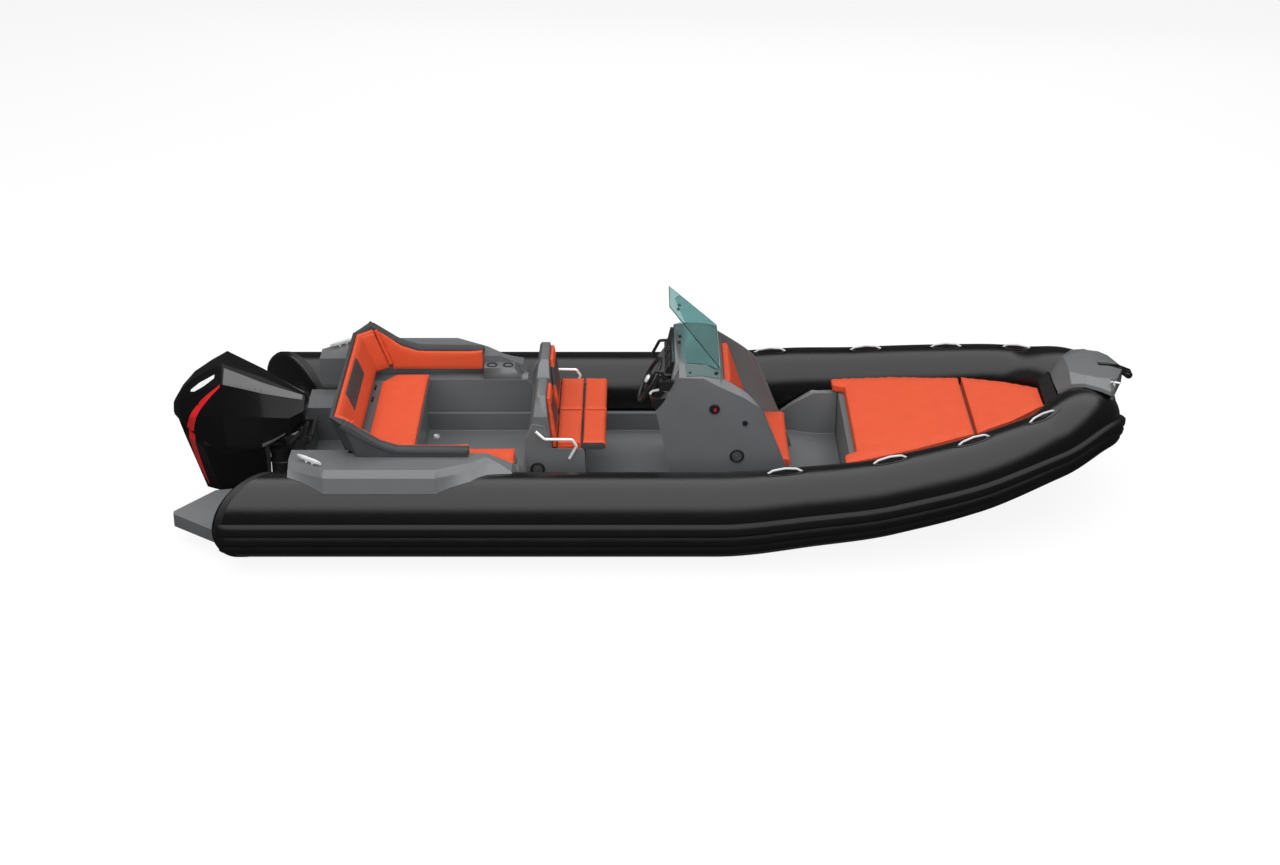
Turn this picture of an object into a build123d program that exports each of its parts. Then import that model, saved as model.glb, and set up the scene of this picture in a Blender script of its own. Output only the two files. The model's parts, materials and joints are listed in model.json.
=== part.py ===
"""Rigid inflatable boat, about 6.5 m long, as separate pieces.

Frame: millimetres, +X towards the bow, +Y to port, +Z up.
The origin is on the centreline, amidships, at the waterline.
"""
import os
from math import cos, radians, sin
from build123d import *

os.makedirs("parts", exist_ok=True)

# ---------------------------------------------------------------- driving sizes
GAP = 1.5                    # between rigid pieces that lie beside each other
SOFT_GAP = 0.5               # between a soft piece and what carries it
MOVE_GAP = 6.0               # between pieces that move apart

TUBE_Y = 990                 # centreline of the straight tube
TUBE_Z = 290
TUBE_R = 280
TUBE_START_X = -3000
TUBE_END_X = -2600           # where the oblique stern cut crosses the tube's centreline
TUBE_END_SLOPE = 0.8         # how far the cut runs aft for each millimetre outboard
TUBE_END_FILLET = 70
STRAKE_START_X = -2740

FLOOR_Z = 120                # top of the cockpit floor
FLOOR_THICK = 20
LINER_Y = 650                # inner face of the cockpit side
LINER_OUT_Y = 690
RIM_Z = 260                  # top of the low cockpit side
FLOOR_END_X = 1419

TRANSOM_X = -2380            # aft face of the transom board
TRANSOM_THICK = 70
TRANSOM_TOP_Z = 330
WELL_Y = 420                 # half width of the motor well
WELL_Z = 150                 # floor of the motor well
TREAD_Z = 410                # boarding treads beside the well

PLATFORM_Z = 200             # top of the swim platforms
PLATFORM_THICK = 95

LEDGE_Z = 510                # ledge along the cockpit side
COAMING_Z = 648              # top of the side coaming
COAMING_IN_Y = 800

SEAT_Z = 595                 # top of the aft and helm cushions
CUSHION = 55
BENCH_FRONT_X = -1507
BENCH_BACK_X = -1841
BENCH_TOP_Z = 526
LID_THICK = 12

HELM_HALF_Y = 530
HELM_TOP_Z = 530
BOLSTER_BACK_X = -390
BOLSTER_FRONT_X = -225

CONSOLE_Y = 450
WING_THICK = 52              # of the console's wings beside the forward seat

WHEEL_X = 67
WHEEL_Y = -110
WHEEL_Z = 869
WHEEL_RAKE = 28              # the shaft falls forward by this many degrees
WHEEL_R = 155

TILT_X = -2335               # transverse axis that the engine tilts about
TILT_Z = 405
STEER_X = -2500              # upright axis that the engine steers about
PROP_Z = -420
PROP_X = -3000
PROP_R = 185

DECK_SLOPE = 0.127           # rise of the bow deck for each millimetre forward
DECK_X = 1375
DECK_Z = 518                 # top of the bow cushions at DECK_X

ROLLER_X = 3360
ROLLER_Z = 866

# Port tube ahead of its plain run: centre x, centre y, centre z, radius, heading
TUBE_STATIONS = [
    (-300, 990, 290, 280, (1, 0, 0)),
    (100, 990, 290, 280, (1, 0, 0)),
    (500, 990, 290, 280, (1, 0, 0)),
    (1150, 977, 347, 265, (1, -0.07, 0.08)),
    (1640, 914, 389, 258, (1, -0.19, 0.15)),
    (2200, 780, 475, 250, (1, -0.33, 0.19)),
    (2690, 574, 578, 226, (1, -0.61, 0.13)),
    (2995, 326, 659, 232, (1, -0.97, 0.03)),
    (3072, 0, 588, 216, (0, -1, 0)),
]


# ---------------------------------------------------------------- small helpers
def plate_xz(outline, y_low, y_high):
    """Outline of (x, z) points, extruded along Y."""
    wire = Polyline(*[(x, y_low, z) for x, z in outline], close=True)
    return extrude(make_face(wire), amount=y_high - y_low, dir=(0, 1, 0))


def plate_xy(outline, z_low, z_high):
    """Outline of (x, y) points, extruded along Z."""
    wire = Polyline(*[(x, y, z_low) for x, y in outline], close=True)
    return extrude(make_face(wire), amount=z_high - z_low, dir=(0, 0, 1))


def plate_yz(outline, x_low, x_high):
    """Outline of (y, z) points, extruded along X."""
    wire = Polyline(*[(x_low, y, z) for y, z in outline], close=True)
    return extrude(make_face(wire), amount=x_high - x_low, dir=(1, 0, 0))


def block(x_low, x_high, y_low, y_high, z_low, z_high):
    """Box from its low and high faces."""
    middle = ((x_low + x_high) / 2, (y_low + y_high) / 2, (z_low + z_high) / 2)
    return Pos(*middle) * Box(x_high - x_low, y_high - y_low, z_high - z_low)


def mirrored(outline):
    """Closed (x, y) outline from its port half, listed from aft to bow."""
    return outline + [(x, -y) for x, y in reversed(outline)]


def starboard_of(piece):
    """Mirror image of a port piece."""
    return mirror(piece, Plane.XZ)


def both_sides(piece):
    """A port piece together with its mirror image."""
    return piece + starboard_of(piece)


def skin_loft(sections):
    """Ruled skin through closed outlines of 3-D points."""
    return loft([make_face(Polyline(*points, close=True)) for points in sections], ruled=True)


def rod(points, diameter, bend):
    """Round bar along straight runs with equal bends."""
    path = FilletPolyline(*points, radius=bend)
    section = Plane(origin=path @ 0, z_dir=path % 0) * Circle(diameter / 2)
    return sweep(section, path=path)


def cylinder_x(y, z, radius, x_low, x_high):
    """Cylinder whose axis runs fore and aft."""
    return Pos((x_low + x_high) / 2, y, z) * (Rot(0, 90, 0) * Cylinder(radius, x_high - x_low))


def cylinder_y(x, z, radius, y_low, y_high):
    """Cylinder whose axis runs across the boat."""
    return Pos(x, (y_low + y_high) / 2, z) * (Rot(90, 0, 0) * Cylinder(radius, y_high - y_low))


def cylinder_z(x, y, radius, z_low, z_high):
    """Upright cylinder."""
    return Pos(x, y, (z_low + z_high) / 2) * Cylinder(radius, z_high - z_low)


def deck_z(x, below=0.0):
    """Height of the sloping bow deck's cushion top, or of a plane below it."""
    return DECK_Z + DECK_SLOPE * (x - DECK_X) - below


def deck_slab(outline, below, thick):
    """Slab that follows the slope of the bow deck, its top a distance below the cushion top."""
    wire = Polyline(*[(x, y, deck_z(x, below)) for x, y in outline], close=True)
    return extrude(make_face(wire), amount=thick, dir=(0, 0, -1))


def save(name, piece):
    """Write one node."""
    export_step(piece, "parts/" + name + ".step")


def save_pair(name, port_piece):
    """Write a port piece and its mirror image as two nodes."""
    save(name + "_port", port_piece)
    save(name + "_starboard", starboard_of(port_piece))


def save_both(name, port_piece):
    """Write a port piece and its mirror image as two solids of one node."""
    port_solids = list(port_piece.solids())
    save(name, Compound(children=port_solids + [starboard_of(solid) for solid in port_solids]))


def largest(shape):
    """Main solid of a cut, without its slivers."""
    return shape.solids().sort_by(SortBy.VOLUME)[-1]


# ---------------------------------------------------------------- tubes
def tube(extra=0.0):
    """Port tube, larger all round by extra, with its oblique stern cut."""
    straight = cylinder_x(TUBE_Y, TUBE_Z, TUBE_R + extra, TUBE_START_X, TUBE_STATIONS[0][0])
    sections = []
    for x, y, z, radius, heading in TUBE_STATIONS:
        plane = Plane(origin=(x, y, z), x_dir=(0, 0, 1), z_dir=heading)
        sections.append(plane * Circle(radius + extra))
    whole = straight + loft(sections)
    reach = TUBE_R * 2
    run = TUBE_END_SLOPE * reach
    end_x = TUBE_END_X - extra
    beyond = TUBE_START_X - reach
    cut = plate_xy(
        [(end_x + run, TUBE_Y - reach), (end_x - run, TUBE_Y + reach),
         (beyond, TUBE_Y + reach), (beyond, TUBE_Y - reach)],
        TUBE_Z - reach, TUBE_Z + reach)
    return whole - cut


def rounded_tube():
    """Port tube with the edge of its stern cut rounded."""
    whole = tube()
    stern = whole.edges().sort_by(Axis.X)[0]
    return fillet(stern, TUBE_END_FILLET)


TUBE_PORT = rounded_tube()
TUBE_CUT = both_sides(tube(GAP))
save_pair("tube", TUBE_PORT)


# ---------------------------------------------------------------- rub strakes
# degrees above the tube's equator, height above the fabric
STRAKE_OUTLINE = [(14, -8), (14, 20), (9, 38), (1, 38), (-2, 24), (-6, 38), (-13, 38),
                  (-16, 24), (-20, 38), (-27, 38), (-32, 20), (-32, -8)]
STRAKE_NOSE_DROP = 16        # degrees that the strake dips at the nose


def strake_outline(x, y, z, radius, heading):
    """Section of the strake on the port tube at one station."""
    along = Vector(*heading).normalized()
    up = (Vector(0, 0, 1) - along * along.Z).normalized()
    out = up.cross(along)
    centre = Vector(x, y, z)
    drop = STRAKE_NOSE_DROP if y == 0 else 0
    points = []
    for degrees_up, height in STRAKE_OUTLINE:
        reach = radius + height
        side = reach * cos(radians(degrees_up - drop))
        rise = reach * sin(radians(degrees_up - drop))
        points.append(centre + out * side + up * rise)
    return points


def strake():
    """Port strake, from near the stern to the centreline of the bow."""
    outlines = [make_face(Polyline(*strake_outline(*station), close=True)) for station in TUBE_STATIONS]
    bow = loft(outlines)
    straight = extrude(outlines[0], amount=TUBE_STATIONS[0][0] - STRAKE_START_X, dir=(-1, 0, 0))
    return largest(straight + bow - tube(SOFT_GAP))


save_pair("rub_strake", strake())


# ---------------------------------------------------------------- lifting handles
# centre x, centre y, crest z of each loop, heading
HANDLE_STATIONS = [
    (948, 986, 597, (1, -0.04, 0.08)),
    (1640, 914, 647, (1, -0.19, 0.15)),
    (2203, 779, 725, (1, -0.33, 0.19)),
    (2690, 574, 803, (1, -0.61, 0.13)),
]
HANDLE_HALF = 130
HANDLE_RISE = 30
HANDLE_BAR = 14


def handle(x, y, z, heading):
    """Arched loop standing on the tube's crest."""
    along = Vector(*heading).normalized()
    crest = Vector(x, y, z)
    up = Vector(0, 0, 1)
    low = -12
    points = [crest - along * HANDLE_HALF + up * low,
              crest - along * HANDLE_HALF * 0.62 + up * HANDLE_RISE * 0.7,
              crest + up * HANDLE_RISE,
              crest + along * HANDLE_HALF * 0.62 + up * HANDLE_RISE * 0.7,
              crest + along * HANDLE_HALF + up * low]
    return rod(points, HANDLE_BAR, 45)


def handles():
    """The four loops of the port tube."""
    return Compound(children=[largest(handle(*station) - tube(SOFT_GAP)) for station in HANDLE_STATIONS])


save_both("tube_handles", handles())


# ---------------------------------------------------------------- hull
# x, keel z, chine half width, chine z, gunwale half width, gunwale z, deck half width, deck z
HULL_STATIONS = [
    (TRANSOM_X, -380, 760, -60, 830, 120, 752, 98),
    (900, -380, 760, -50, 835, 130, 752, 98),
    (FLOOR_END_X + 5, -367, 720, 5, 800, 165, 700, 98),
    (2000, -300, 600, 100, 672, 250, 560, 225),
    (2500, -170, 430, 225, 500, 365, 380, 340),
    (2900, 60, 190, 350, 230, 480, 160, 460),
    (3130, 320, 30, 410, 45, 490, 30, 470),
]


def hull():
    """Deep V bottom, solid up to the underside of the deck."""
    sections = []
    for x, keel_z, chine_y, chine_z, gunwale_y, gunwale_z, deck_y, deck_z_here in HULL_STATIONS:
        port = [(chine_y, chine_z), (gunwale_y, gunwale_z), (deck_y, deck_z_here)]
        starboard = [(-y, z) for y, z in reversed(port)]
        sections.append([(x, y, z) for y, z in [(0, keel_z)] + port + starboard])
    return skin_loft(sections)


HULL = hull()
save("hull", HULL - TUBE_CUT)


# ---------------------------------------------------------------- cockpit liner
def cockpit_liner():
    """Floor with low sides that rise around the bow footwell."""
    floor = mirrored([(-1930, LINER_OUT_Y), (1090, LINER_OUT_Y), (1285, 640), (FLOOR_END_X, 640)])
    slab = plate_xy(floor, FLOOR_Z - FLOOR_THICK, FLOOR_Z)
    wall = plate_xy(
        [(-1930, LINER_Y), (1075, LINER_Y), (1262, 596), (FLOOR_END_X, 596),
         (FLOOR_END_X, 640), (1285, 640), (1090, LINER_OUT_Y), (-1930, LINER_OUT_Y)],
        FLOOR_Z, 460)
    above_rim = plate_xz(
        [(-2000, RIM_Z), (1000, RIM_Z), (1235, 446), (FLOOR_END_X + 1, 452),
         (FLOOR_END_X + 1, 600), (-2000, 600)], 0, 1000)
    return slab + both_sides(wall - above_rim)


save("cockpit_liner", cockpit_liner())


# ---------------------------------------------------------------- stern
def transom():
    """Board that carries the engine."""
    return block(TRANSOM_X, TRANSOM_X + TRANSOM_THICK, -WELL_Y + GAP, WELL_Y - GAP,
                 WELL_Z + GAP, TRANSOM_TOP_Z)


def aft_deck():
    """Motor well between two boarding treads."""
    half = [(0, 100), (0, WELL_Z), (WELL_Y, WELL_Z), (WELL_Y, TREAD_Z), (748, TREAD_Z), (748, 100)]
    return both_sides(plate_yz(half, TRANSOM_X, -1935)) - TUBE_CUT


def swim_platform():
    """Port platform beside the engine."""
    outline = [(TRANSOM_X - GAP, 415), (-2670, 415), (-2900, 460), (-3130, 770), (-3125, 810),
               (-2820, 1040), (TRANSOM_X - GAP, 1040)]
    slab = plate_xy(outline, PLATFORM_Z - PLATFORM_THICK, PLATFORM_Z)
    return largest(slab - tube(GAP))


save("transom", transom())
save("aft_deck", aft_deck())
save_both("swim_platforms", swim_platform())

# x, top outer y, top outer z, chamfer outer y, chamfer z, skirt y, skirt z
COAMING_STATIONS = [
    (-2312, 905, 655, 960, 610, 1035, 548),
    (-2060, 1086, 665, 1125, 622, 1155, 505),
    (-1337, 1086, 665, 1125, 622, 1155, 505),
    (-1110, 955, 655, 1000, 615, 1075, 545),
    (-1000, 850, 650, 890, 615, 1000, 550),
    (-690, 815, 648, 850, 600, 950, 550),
]


def coaming():
    """Port coaming, which wraps over the tube beside the lounge."""
    aft = []
    side = []
    for x, top_y, top_z, chamfer_y, chamfer_z, skirt_y, skirt_z in COAMING_STATIONS:
        outer = [(top_y, top_z), (chamfer_y, chamfer_z), (skirt_y, skirt_z)]
        aft_inner = [(900, 480), (752, TREAD_Z + GAP), (752, COAMING_Z)]
        side_inner = [(900, 480), (716, RIM_Z + GAP), (682, RIM_Z + GAP), (682, LEDGE_Z),
                      (COAMING_IN_Y, LEDGE_Z), (COAMING_IN_Y, COAMING_Z)]
        aft.append([(x, y, z) for y, z in outer + aft_inner])
        side.append([(x, y, z) for y, z in outer + side_inner])
    aft_part = skin_loft(aft) & block(-2400, -1932, 0, 2000, 0, 1000)
    side_part = skin_loft(side) & block(-1932, -600, 0, 2000, 0, 1000)
    nose = plate_xz([(-900, 670), (-690, 300), (-690, 0), (0, 0), (0, 1000), (-900, 1000)], 0, 2000)
    return largest(aft_part + side_part - nose - TUBE_CUT)


def cup_shelf():
    """Raised block with the cup holders, on the port ledge only."""
    return plate_xz([(-1125, LEDGE_Z - 5), (-1125, 600), (-905, 600), (-880, 560), (-850, LEDGE_Z - 5)],
                    690, COAMING_IN_Y + 5)


COAMING = coaming()
save("coaming_port", COAMING + cup_shelf())
save("coaming_starboard", starboard_of(COAMING))

CLEAT_X = -2165
CLEAT_Y = 968
CLEAT_TURN = 38              # degrees that the cleat points outboard


def stern_cleat():
    """Horn cleat on two short feet, along the cut corner of the coaming."""
    feet = cylinder_z(-28, 0, 9, -8, 26) + cylinder_z(28, 0, 9, -8, 26)
    bar = plate_xy([(-112, 0), (-55, 13), (55, 13), (112, 0), (55, -13), (-55, -13)], 20, 36)
    return Pos(CLEAT_X, CLEAT_Y, COAMING_Z + 9) * (Rot(0, 0, CLEAT_TURN) * (feet + bar))


save_both("stern_cleats", stern_cleat() - (Pos(0, 0, SOFT_GAP) * COAMING))


# ---------------------------------------------------------------- aft lounge
def bench_base():
    """Box under the aft seat."""
    return block(-1930, -1535, -LINER_Y + GAP, LINER_Y - GAP, FLOOR_Z + GAP, BENCH_TOP_Z)


def bench_lid():
    """Lid of the bench locker, hinged along its aft edge."""
    return block(BENCH_BACK_X, BENCH_FRONT_X - 6, -600, 600, BENCH_TOP_Z + GAP,
                 BENCH_TOP_Z + GAP + LID_THICK)


def bench_cushion():
    """Aft seat cushion with cut aft corners."""
    outline = mirrored([(BENCH_BACK_X, 470), (-1745, 600), (BENCH_FRONT_X, 604)])
    return plate_xy(outline, BENCH_TOP_Z + GAP + LID_THICK + SOFT_GAP, SEAT_Z)


BACK_Z = 868                 # top of the lounge's back
BACK_LEAN = 0.383            # how far the back comes forward for each millimetre down
BACK_FOOT_Y = 735
WING_END_X = -1130
WING_IN_Y = 790
WING_OUT_Y = 868
WING_LOW_Z = 655


def leaning(outline, z_low, z_high):
    """Solid whose (x, y) outline at BACK_Z comes forward lower down."""
    sections = []
    for z in (z_low, z_high):
        sections.append([(x + (BACK_Z - z) * BACK_LEAN, y, z) for x, y in outline])
    return skin_loft(sections)


def backrest_shell():
    """Moulded back of the lounge, with cut corners and a wing along each side."""
    inner = mirrored([(-1000, WING_IN_Y), (-1925, WING_IN_Y), (-2036, 690)])
    outer = mirrored([(-1000, WING_OUT_Y), (-1945, WING_OUT_Y), (-2056, 700)])
    shell = leaning(inner + list(reversed(outer)), 560, 900)
    above = plate_xz([(WING_END_X, 700), (-1600, 704), (-1715, 742), (-1915, 875), (-1945, 885),
                      (-2040, BACK_Z), (-2200, BACK_Z), (-2200, 1000), (0, 1000), (0, 400),
                      (WING_END_X, 400)], -1000, 1000)
    below_wing = block(-2200, 0, BACK_FOOT_Y, 1000, 400, WING_LOW_Z)
    foot = block(-1960, -1924, -BACK_FOOT_Y, BACK_FOOT_Y, BENCH_TOP_Z + GAP, 575)
    return shell - above - both_sides(below_wing) + foot


def backrest_cushion():
    """Padded front of the lounge's back, with its cut corners."""
    inner = mirrored([(-1905, 745), (-2000, 655)])
    outer = mirrored([(-1926, 786), (-2035, 688)])
    return leaning(inner + list(reversed(outer)), 576.5, 872)


def side_bolster():
    """Padded face of the port wing, rising to the backrest."""
    side = plate_xz([(WING_END_X, 565), (WING_END_X, 697), (-1600, 701), (-1715, 739), (-1893, 852),
                     (-1786, 565)], 700, 800)
    inner_face = plate_yz([(748, 500), (748, 565), (776, 880), (789, 880), (789, 500)], -2000, -1100)
    return side & inner_face


def side_seat_base():
    """Box under the starboard side seat."""
    return block(-1530, -830, -LINER_Y + GAP, -550, FLOOR_Z + GAP, LEDGE_Z)


def side_seat_cushion():
    """Cushion along the starboard side."""
    return block(-1488, -838, -796, -552, LEDGE_Z + SOFT_GAP, LEDGE_Z + CUSHION)


save("bench_base", bench_base())
save("bench_lid", bench_lid())
save("bench_cushion", bench_cushion())
save("backrest_shell", backrest_shell())
save("backrest_cushion", backrest_cushion())
save_pair("side_bolster", side_bolster())
save("side_seat_base", side_seat_base())
save("side_seat_cushion", side_seat_cushion())


# ---------------------------------------------------------------- helm seat
def helm_base():
    """Pedestal box of the two-place helm seat, with a raised edge along each side."""
    box = plate_xz([(-822, FLOOR_Z + GAP), (-768, 397), (-760, HELM_TOP_Z), (-372, HELM_TOP_Z),
                    (-372, FLOOR_Z + GAP)], -548, 548)
    cheek = plate_xz([(-766, 430), (-779, 622), (-723, 740), (-636, 727), (-606, 558), (-384, 555),
                      (-372, HELM_TOP_Z), (-372, 430)], 536, 548)
    return box + both_sides(cheek)


def helm_back():
    """Port seat back, a thick moulded shell."""
    outline = [(-755, HELM_TOP_Z + GAP), (-705, 880), (-690, 905), (-632, 905),
               (-590, HELM_TOP_Z + GAP)]
    shell = plate_xz(outline, 20, HELM_HALF_Y)
    corner = plate_yz([(HELM_HALF_Y + 1, 780), (460, 906), (HELM_HALF_Y + 1, 906)], -800, -500)
    inner = plate_yz([(19, 820), (150, 906), (19, 906)], -800, -500)
    return shell - corner - inner


def helm_back_pad():
    """Padded front of the port seat back."""
    pad = plate_xz([(-589, 545), (-630.5, 893), (-606, 893), (-563, 545)], 60, 500)
    corner = plate_yz([(501, 640), (450, 894), (501, 894)], -800, -500)
    inner = plate_yz([(59, 640), (200, 894), (59, 894)], -800, -500)
    return pad - corner - inner


def helm_rear_cushion():
    """Fixed rear cushion of the port place."""
    return block(-558, BOLSTER_BACK_X - MOVE_GAP, 4, HELM_HALF_Y, HELM_TOP_Z + SOFT_GAP, SEAT_Z)


def helm_bolster():
    """Flip-up front bolster of the port place."""
    roll = block(BOLSTER_BACK_X, BOLSTER_FRONT_X, 4, HELM_HALF_Y, HELM_TOP_Z + MOVE_GAP, SEAT_Z)
    front = [edge for edge in roll.edges().filter_by(Axis.Y) if edge.center().X > BOLSTER_FRONT_X - 1]
    return fillet(front, 24)


def helm_rail():
    """Grab rail beside the port place."""
    return rod([(-700, 560, 690), (-640, 575, 640), (-455, 575, 638), (-425, 575, 590),
                (-475, 560, 490)], 20, 22)


save("helm_seat_base", helm_base())
save_both("helm_seat_backs", helm_back())
save_both("helm_back_pads", helm_back_pad())
save_both("helm_rear_cushions", helm_rear_cushion())
save_pair("helm_bolster", helm_bolster())
save_both("helm_rails", helm_rail())


# ---------------------------------------------------------------- console
# x, crease z, top edge half width, top z
CONSOLE_STATIONS = [
    (262, 1034, 345, 1095),
    (424, 1030, 350, 1092),
    (540, 965, 362, 1058),
    (690, 893, 375, 935),
    (800, 818, 440, 820),
]
SEATBACK_TOP = (535, 1045)   # x and z of the seat front's upper edge
SEATBACK_FOOT = (754, 400)
WELL_FOOT_Z = 325            # floor of the seat recess
FORWARD_SEAT_X = 800         # hinged aft edge of the forward seat


def console():
    """Steering console with a recessed seat front between two wings."""
    sections = []
    for x, crease_z, top_y, top_z in CONSOLE_STATIONS:
        half = [(CONSOLE_Y, FLOOR_Z + GAP), (CONSOLE_Y, crease_z), (top_y, top_z)]
        other = [(-y, z) for y, z in reversed(half)]
        sections.append([(x, y, z) for y, z in half + other])
    body = skin_loft(sections)
    aft = plate_xz([(255, FLOOR_Z + GAP), (206, 327), (108, 776), (196, 905), (262, 1030),
                    (262, FLOOR_Z + GAP)], -CONSOLE_Y, CONSOLE_Y)
    hood = plate_xz([(196, 905), (236, 1090), (262, 1095), (262, 905)], -345, 345)
    wing = plate_xz([(800, FLOOR_Z + GAP), (800, 818), (838, 758), (1003, 345), (1085, FLOOR_Z + GAP)],
                    CONSOLE_Y - WING_THICK, CONSOLE_Y)
    recess = plate_xz([SEATBACK_TOP, SEATBACK_FOOT, (SEATBACK_FOOT[0] + 25, WELL_FOOT_Z), (801, WELL_FOOT_Z),
                       (801, 1300), (SEATBACK_TOP[0], 1300)], WING_THICK - CONSOLE_Y, CONSOLE_Y - WING_THICK)
    return body + aft + hood + both_sides(wing) - recess


def console_back_pad():
    """Padded back of the seat at the front of the console."""
    (top_x, top_z), (foot_x, foot_z) = SEATBACK_TOP, SEATBACK_FOOT
    lean = (foot_x - top_x) / (top_z - foot_z)
    corners = []
    for z, ahead in ((965, 2), (410, 2), (410, 42), (965, 42)):
        corners.append((top_x + (top_z - z) * lean + ahead, z))
    return plate_xz(corners, -325, 325)


def console_seat_base():
    """Box under the forward seat."""
    return block(800 + GAP, 985, -396, 396, FLOOR_Z + GAP, WELL_FOOT_Z)


def console_seat_lid():
    """Lid of the forward seat's locker, hinged along its aft edge."""
    return block(FORWARD_SEAT_X, 1015, -385, 385, WELL_FOOT_Z + GAP, WELL_FOOT_Z + GAP + LID_THICK)


def console_seat_cushion():
    """Forward seat cushion."""
    slab = block(FORWARD_SEAT_X, 1034, -392, 392, WELL_FOOT_Z + GAP + LID_THICK + SOFT_GAP, 400)
    front = [edge for edge in slab.edges().filter_by(Axis.Y) if edge.center().X > 1033]
    return fillet(front, 20)


def on_wheel_axis(piece):
    """Piece made about Z, set on the wheel's raked axis with +Z towards the helm."""
    return Pos(WHEEL_X, WHEEL_Y, WHEEL_Z) * (Rot(0, -90 + WHEEL_RAKE, 0) * piece)


def dash_panel():
    """Black instrument panel let into the helm side of the hood."""
    return plate_xz([(194, 905), (232, 1086), (212, 1090), (170, 910)], -300, 300)


def dash_rail():
    """Hand rail on the port side of the dash."""
    return rod([(262, 300, 989), (137, 300, 984), (91, 300, 893), (105, 300, 862), (172, 300, 828)],
               22, 18)


def throttle():
    """Control box with a single lever, on the starboard end of the dash."""
    box = block(128, 240, -384, -318, 907, 975)
    lever = rod([(165, -350, 970), (150, -350, 1030), (105, -350, 1038)], 22, 20)
    return box + lever


def wheel_boss():
    """Housing that the wheel's shaft comes out of."""
    return on_wheel_axis(Pos(0, 0, -80) * Cylinder(45, 118))


CONSOLE = console()
DASH = CONSOLE + dash_panel()
save("console", CONSOLE)
save("console_back_pad", console_back_pad())
save("console_seat_base", console_seat_base())
save("console_seat_lid", console_seat_lid())
save("console_seat_cushion", console_seat_cushion())
save("dash_panel", dash_panel() - CONSOLE)
save_both("dash_rails", largest(dash_rail() - DASH))
save("throttle", largest(throttle() - DASH))
save("wheel_boss", largest(wheel_boss() - DASH))


# ---------------------------------------------------------------- windscreen
SCREEN_THICK = 6
SCREEN_TOP = (197, 182, 1436)        # port corner of the top edge
SCREEN_FOOT = (533, 369, 1068)       # port end of the front base
SCREEN_AFT = (334, 369, 1038)        # aft end of the port side's base
FOLD_LAP = 5


def side_point(x, z):
    """Point of the port side sheet's plane."""
    base_z = SCREEN_AFT[2] + (x - SCREEN_AFT[0]) * 30 / 199
    top_base_z = SCREEN_AFT[2] + (SCREEN_TOP[0] - SCREEN_AFT[0]) * 30 / 199
    lean = (SCREEN_FOOT[1] - SCREEN_TOP[1]) / (SCREEN_TOP[2] - top_base_z)
    return (x, SCREEN_FOOT[1] - lean * (z - base_z), z)


def windscreen():
    """Raked front sheet folded into two side sheets."""
    top_x, top_y, top_z = SCREEN_TOP
    foot_x, foot_y, foot_z = SCREEN_FOOT
    corners = [(top_x, -top_y, top_z), (top_x, top_y, top_z), (foot_x, foot_y, foot_z),
               (foot_x, -foot_y, foot_z)]
    front = extrude(make_face(Polyline(*corners, close=True)), amount=SCREEN_THICK, dir=(1, 0, 0.9))
    outline = [(foot_x + FOLD_LAP, foot_z), (SCREEN_AFT[0], SCREEN_AFT[2]), (262, 1240),
               (238, 1325), (270, 1350), (top_x + FOLD_LAP, top_z)]
    face = make_face(Polyline(*[side_point(x, z) for x, z in outline], close=True))
    side = extrude(face, amount=SCREEN_THICK / 2, dir=(0, 1, 0.4), both=True)
    return front + both_sides(side)


save("windscreen", windscreen() - (Pos(0, 0, GAP) * CONSOLE))


# ---------------------------------------------------------------- steering wheel
def steering_wheel():
    """Rim, hub and three spokes, square to the raked shaft."""
    rim = Torus(WHEEL_R, 13)
    hub = Cylinder(38, 30)
    spokes = [Rot(0, 0, 90 + 120 * turn) * (Pos(WHEEL_R / 2, 0, 0) * Box(WHEEL_R, 30, 10))
              for turn in range(3)]
    wheel = rim + hub
    for spoke in spokes:
        wheel += spoke
    return on_wheel_axis(wheel)


save("steering_wheel", steering_wheel())


# ---------------------------------------------------------------- bow deck
CUSHION_SPLIT_X = 2271
SPLIT = 3


def bow_locker():
    """Raised deck that carries the bow cushions."""
    outline = mirrored([(FLOOR_END_X + GAP, 640), (1500, 625), (1800, 575), (2300, 440), (2779, 150)])
    slab = deck_slab(outline, CUSHION + SOFT_GAP, 420)
    whole = slab - TUBE_CUT - (Pos(0, 0, GAP) * HULL)
    return largest(whole - block(1000, 3000, -900, 900, -600, 100))


def bow_cushion_aft():
    """Large bow cushion, notched over the footwell."""
    outline = mirrored([(1455, 516), (1374, 576), (1375, 696), (1800, 612),
                        (CUSHION_SPLIT_X - SPLIT, 465)])
    return deck_slab(outline, 0, CUSHION)


def bow_cushion_front():
    """Tapered cushion ahead of the split."""
    outline = mirrored([(CUSHION_SPLIT_X + SPLIT, 464), (2540, 330), (2777, 150)])
    return deck_slab(outline, 0, CUSHION)


def bow_step():
    """Dark upright panel between the cushions and the bow cap."""
    wedge = plate_xz([(2782, 640), (2782, 718), (2846, 792), (2846, 640)], -240, 240)
    return largest(wedge - TUBE_CUT)


CAP_LOW_Z = 700
CAP_BRIM = 28
SLOT_Z = 903
# x, top z, top half width, crease y, crease z, lip y, lip z, edge y, edge z
CAP_STATIONS = [
    (2847, 800, 40, 75, 799, 110, 797, 150, 793),
    (2935, 938, 60, 98, 930, 195, 893, 240, 880),
    (3060, 945, 55, 108, 910, 222, 884, 272, 872),
    (3130, 942, 52, 112, 893, 250, 868, 305, 858),
    (3200, 937, 48, 118, 872, 285, 850, 345, 842),
    (3285, 928, 42, 75, 876, 100, 866, 125, 858),
]


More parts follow.
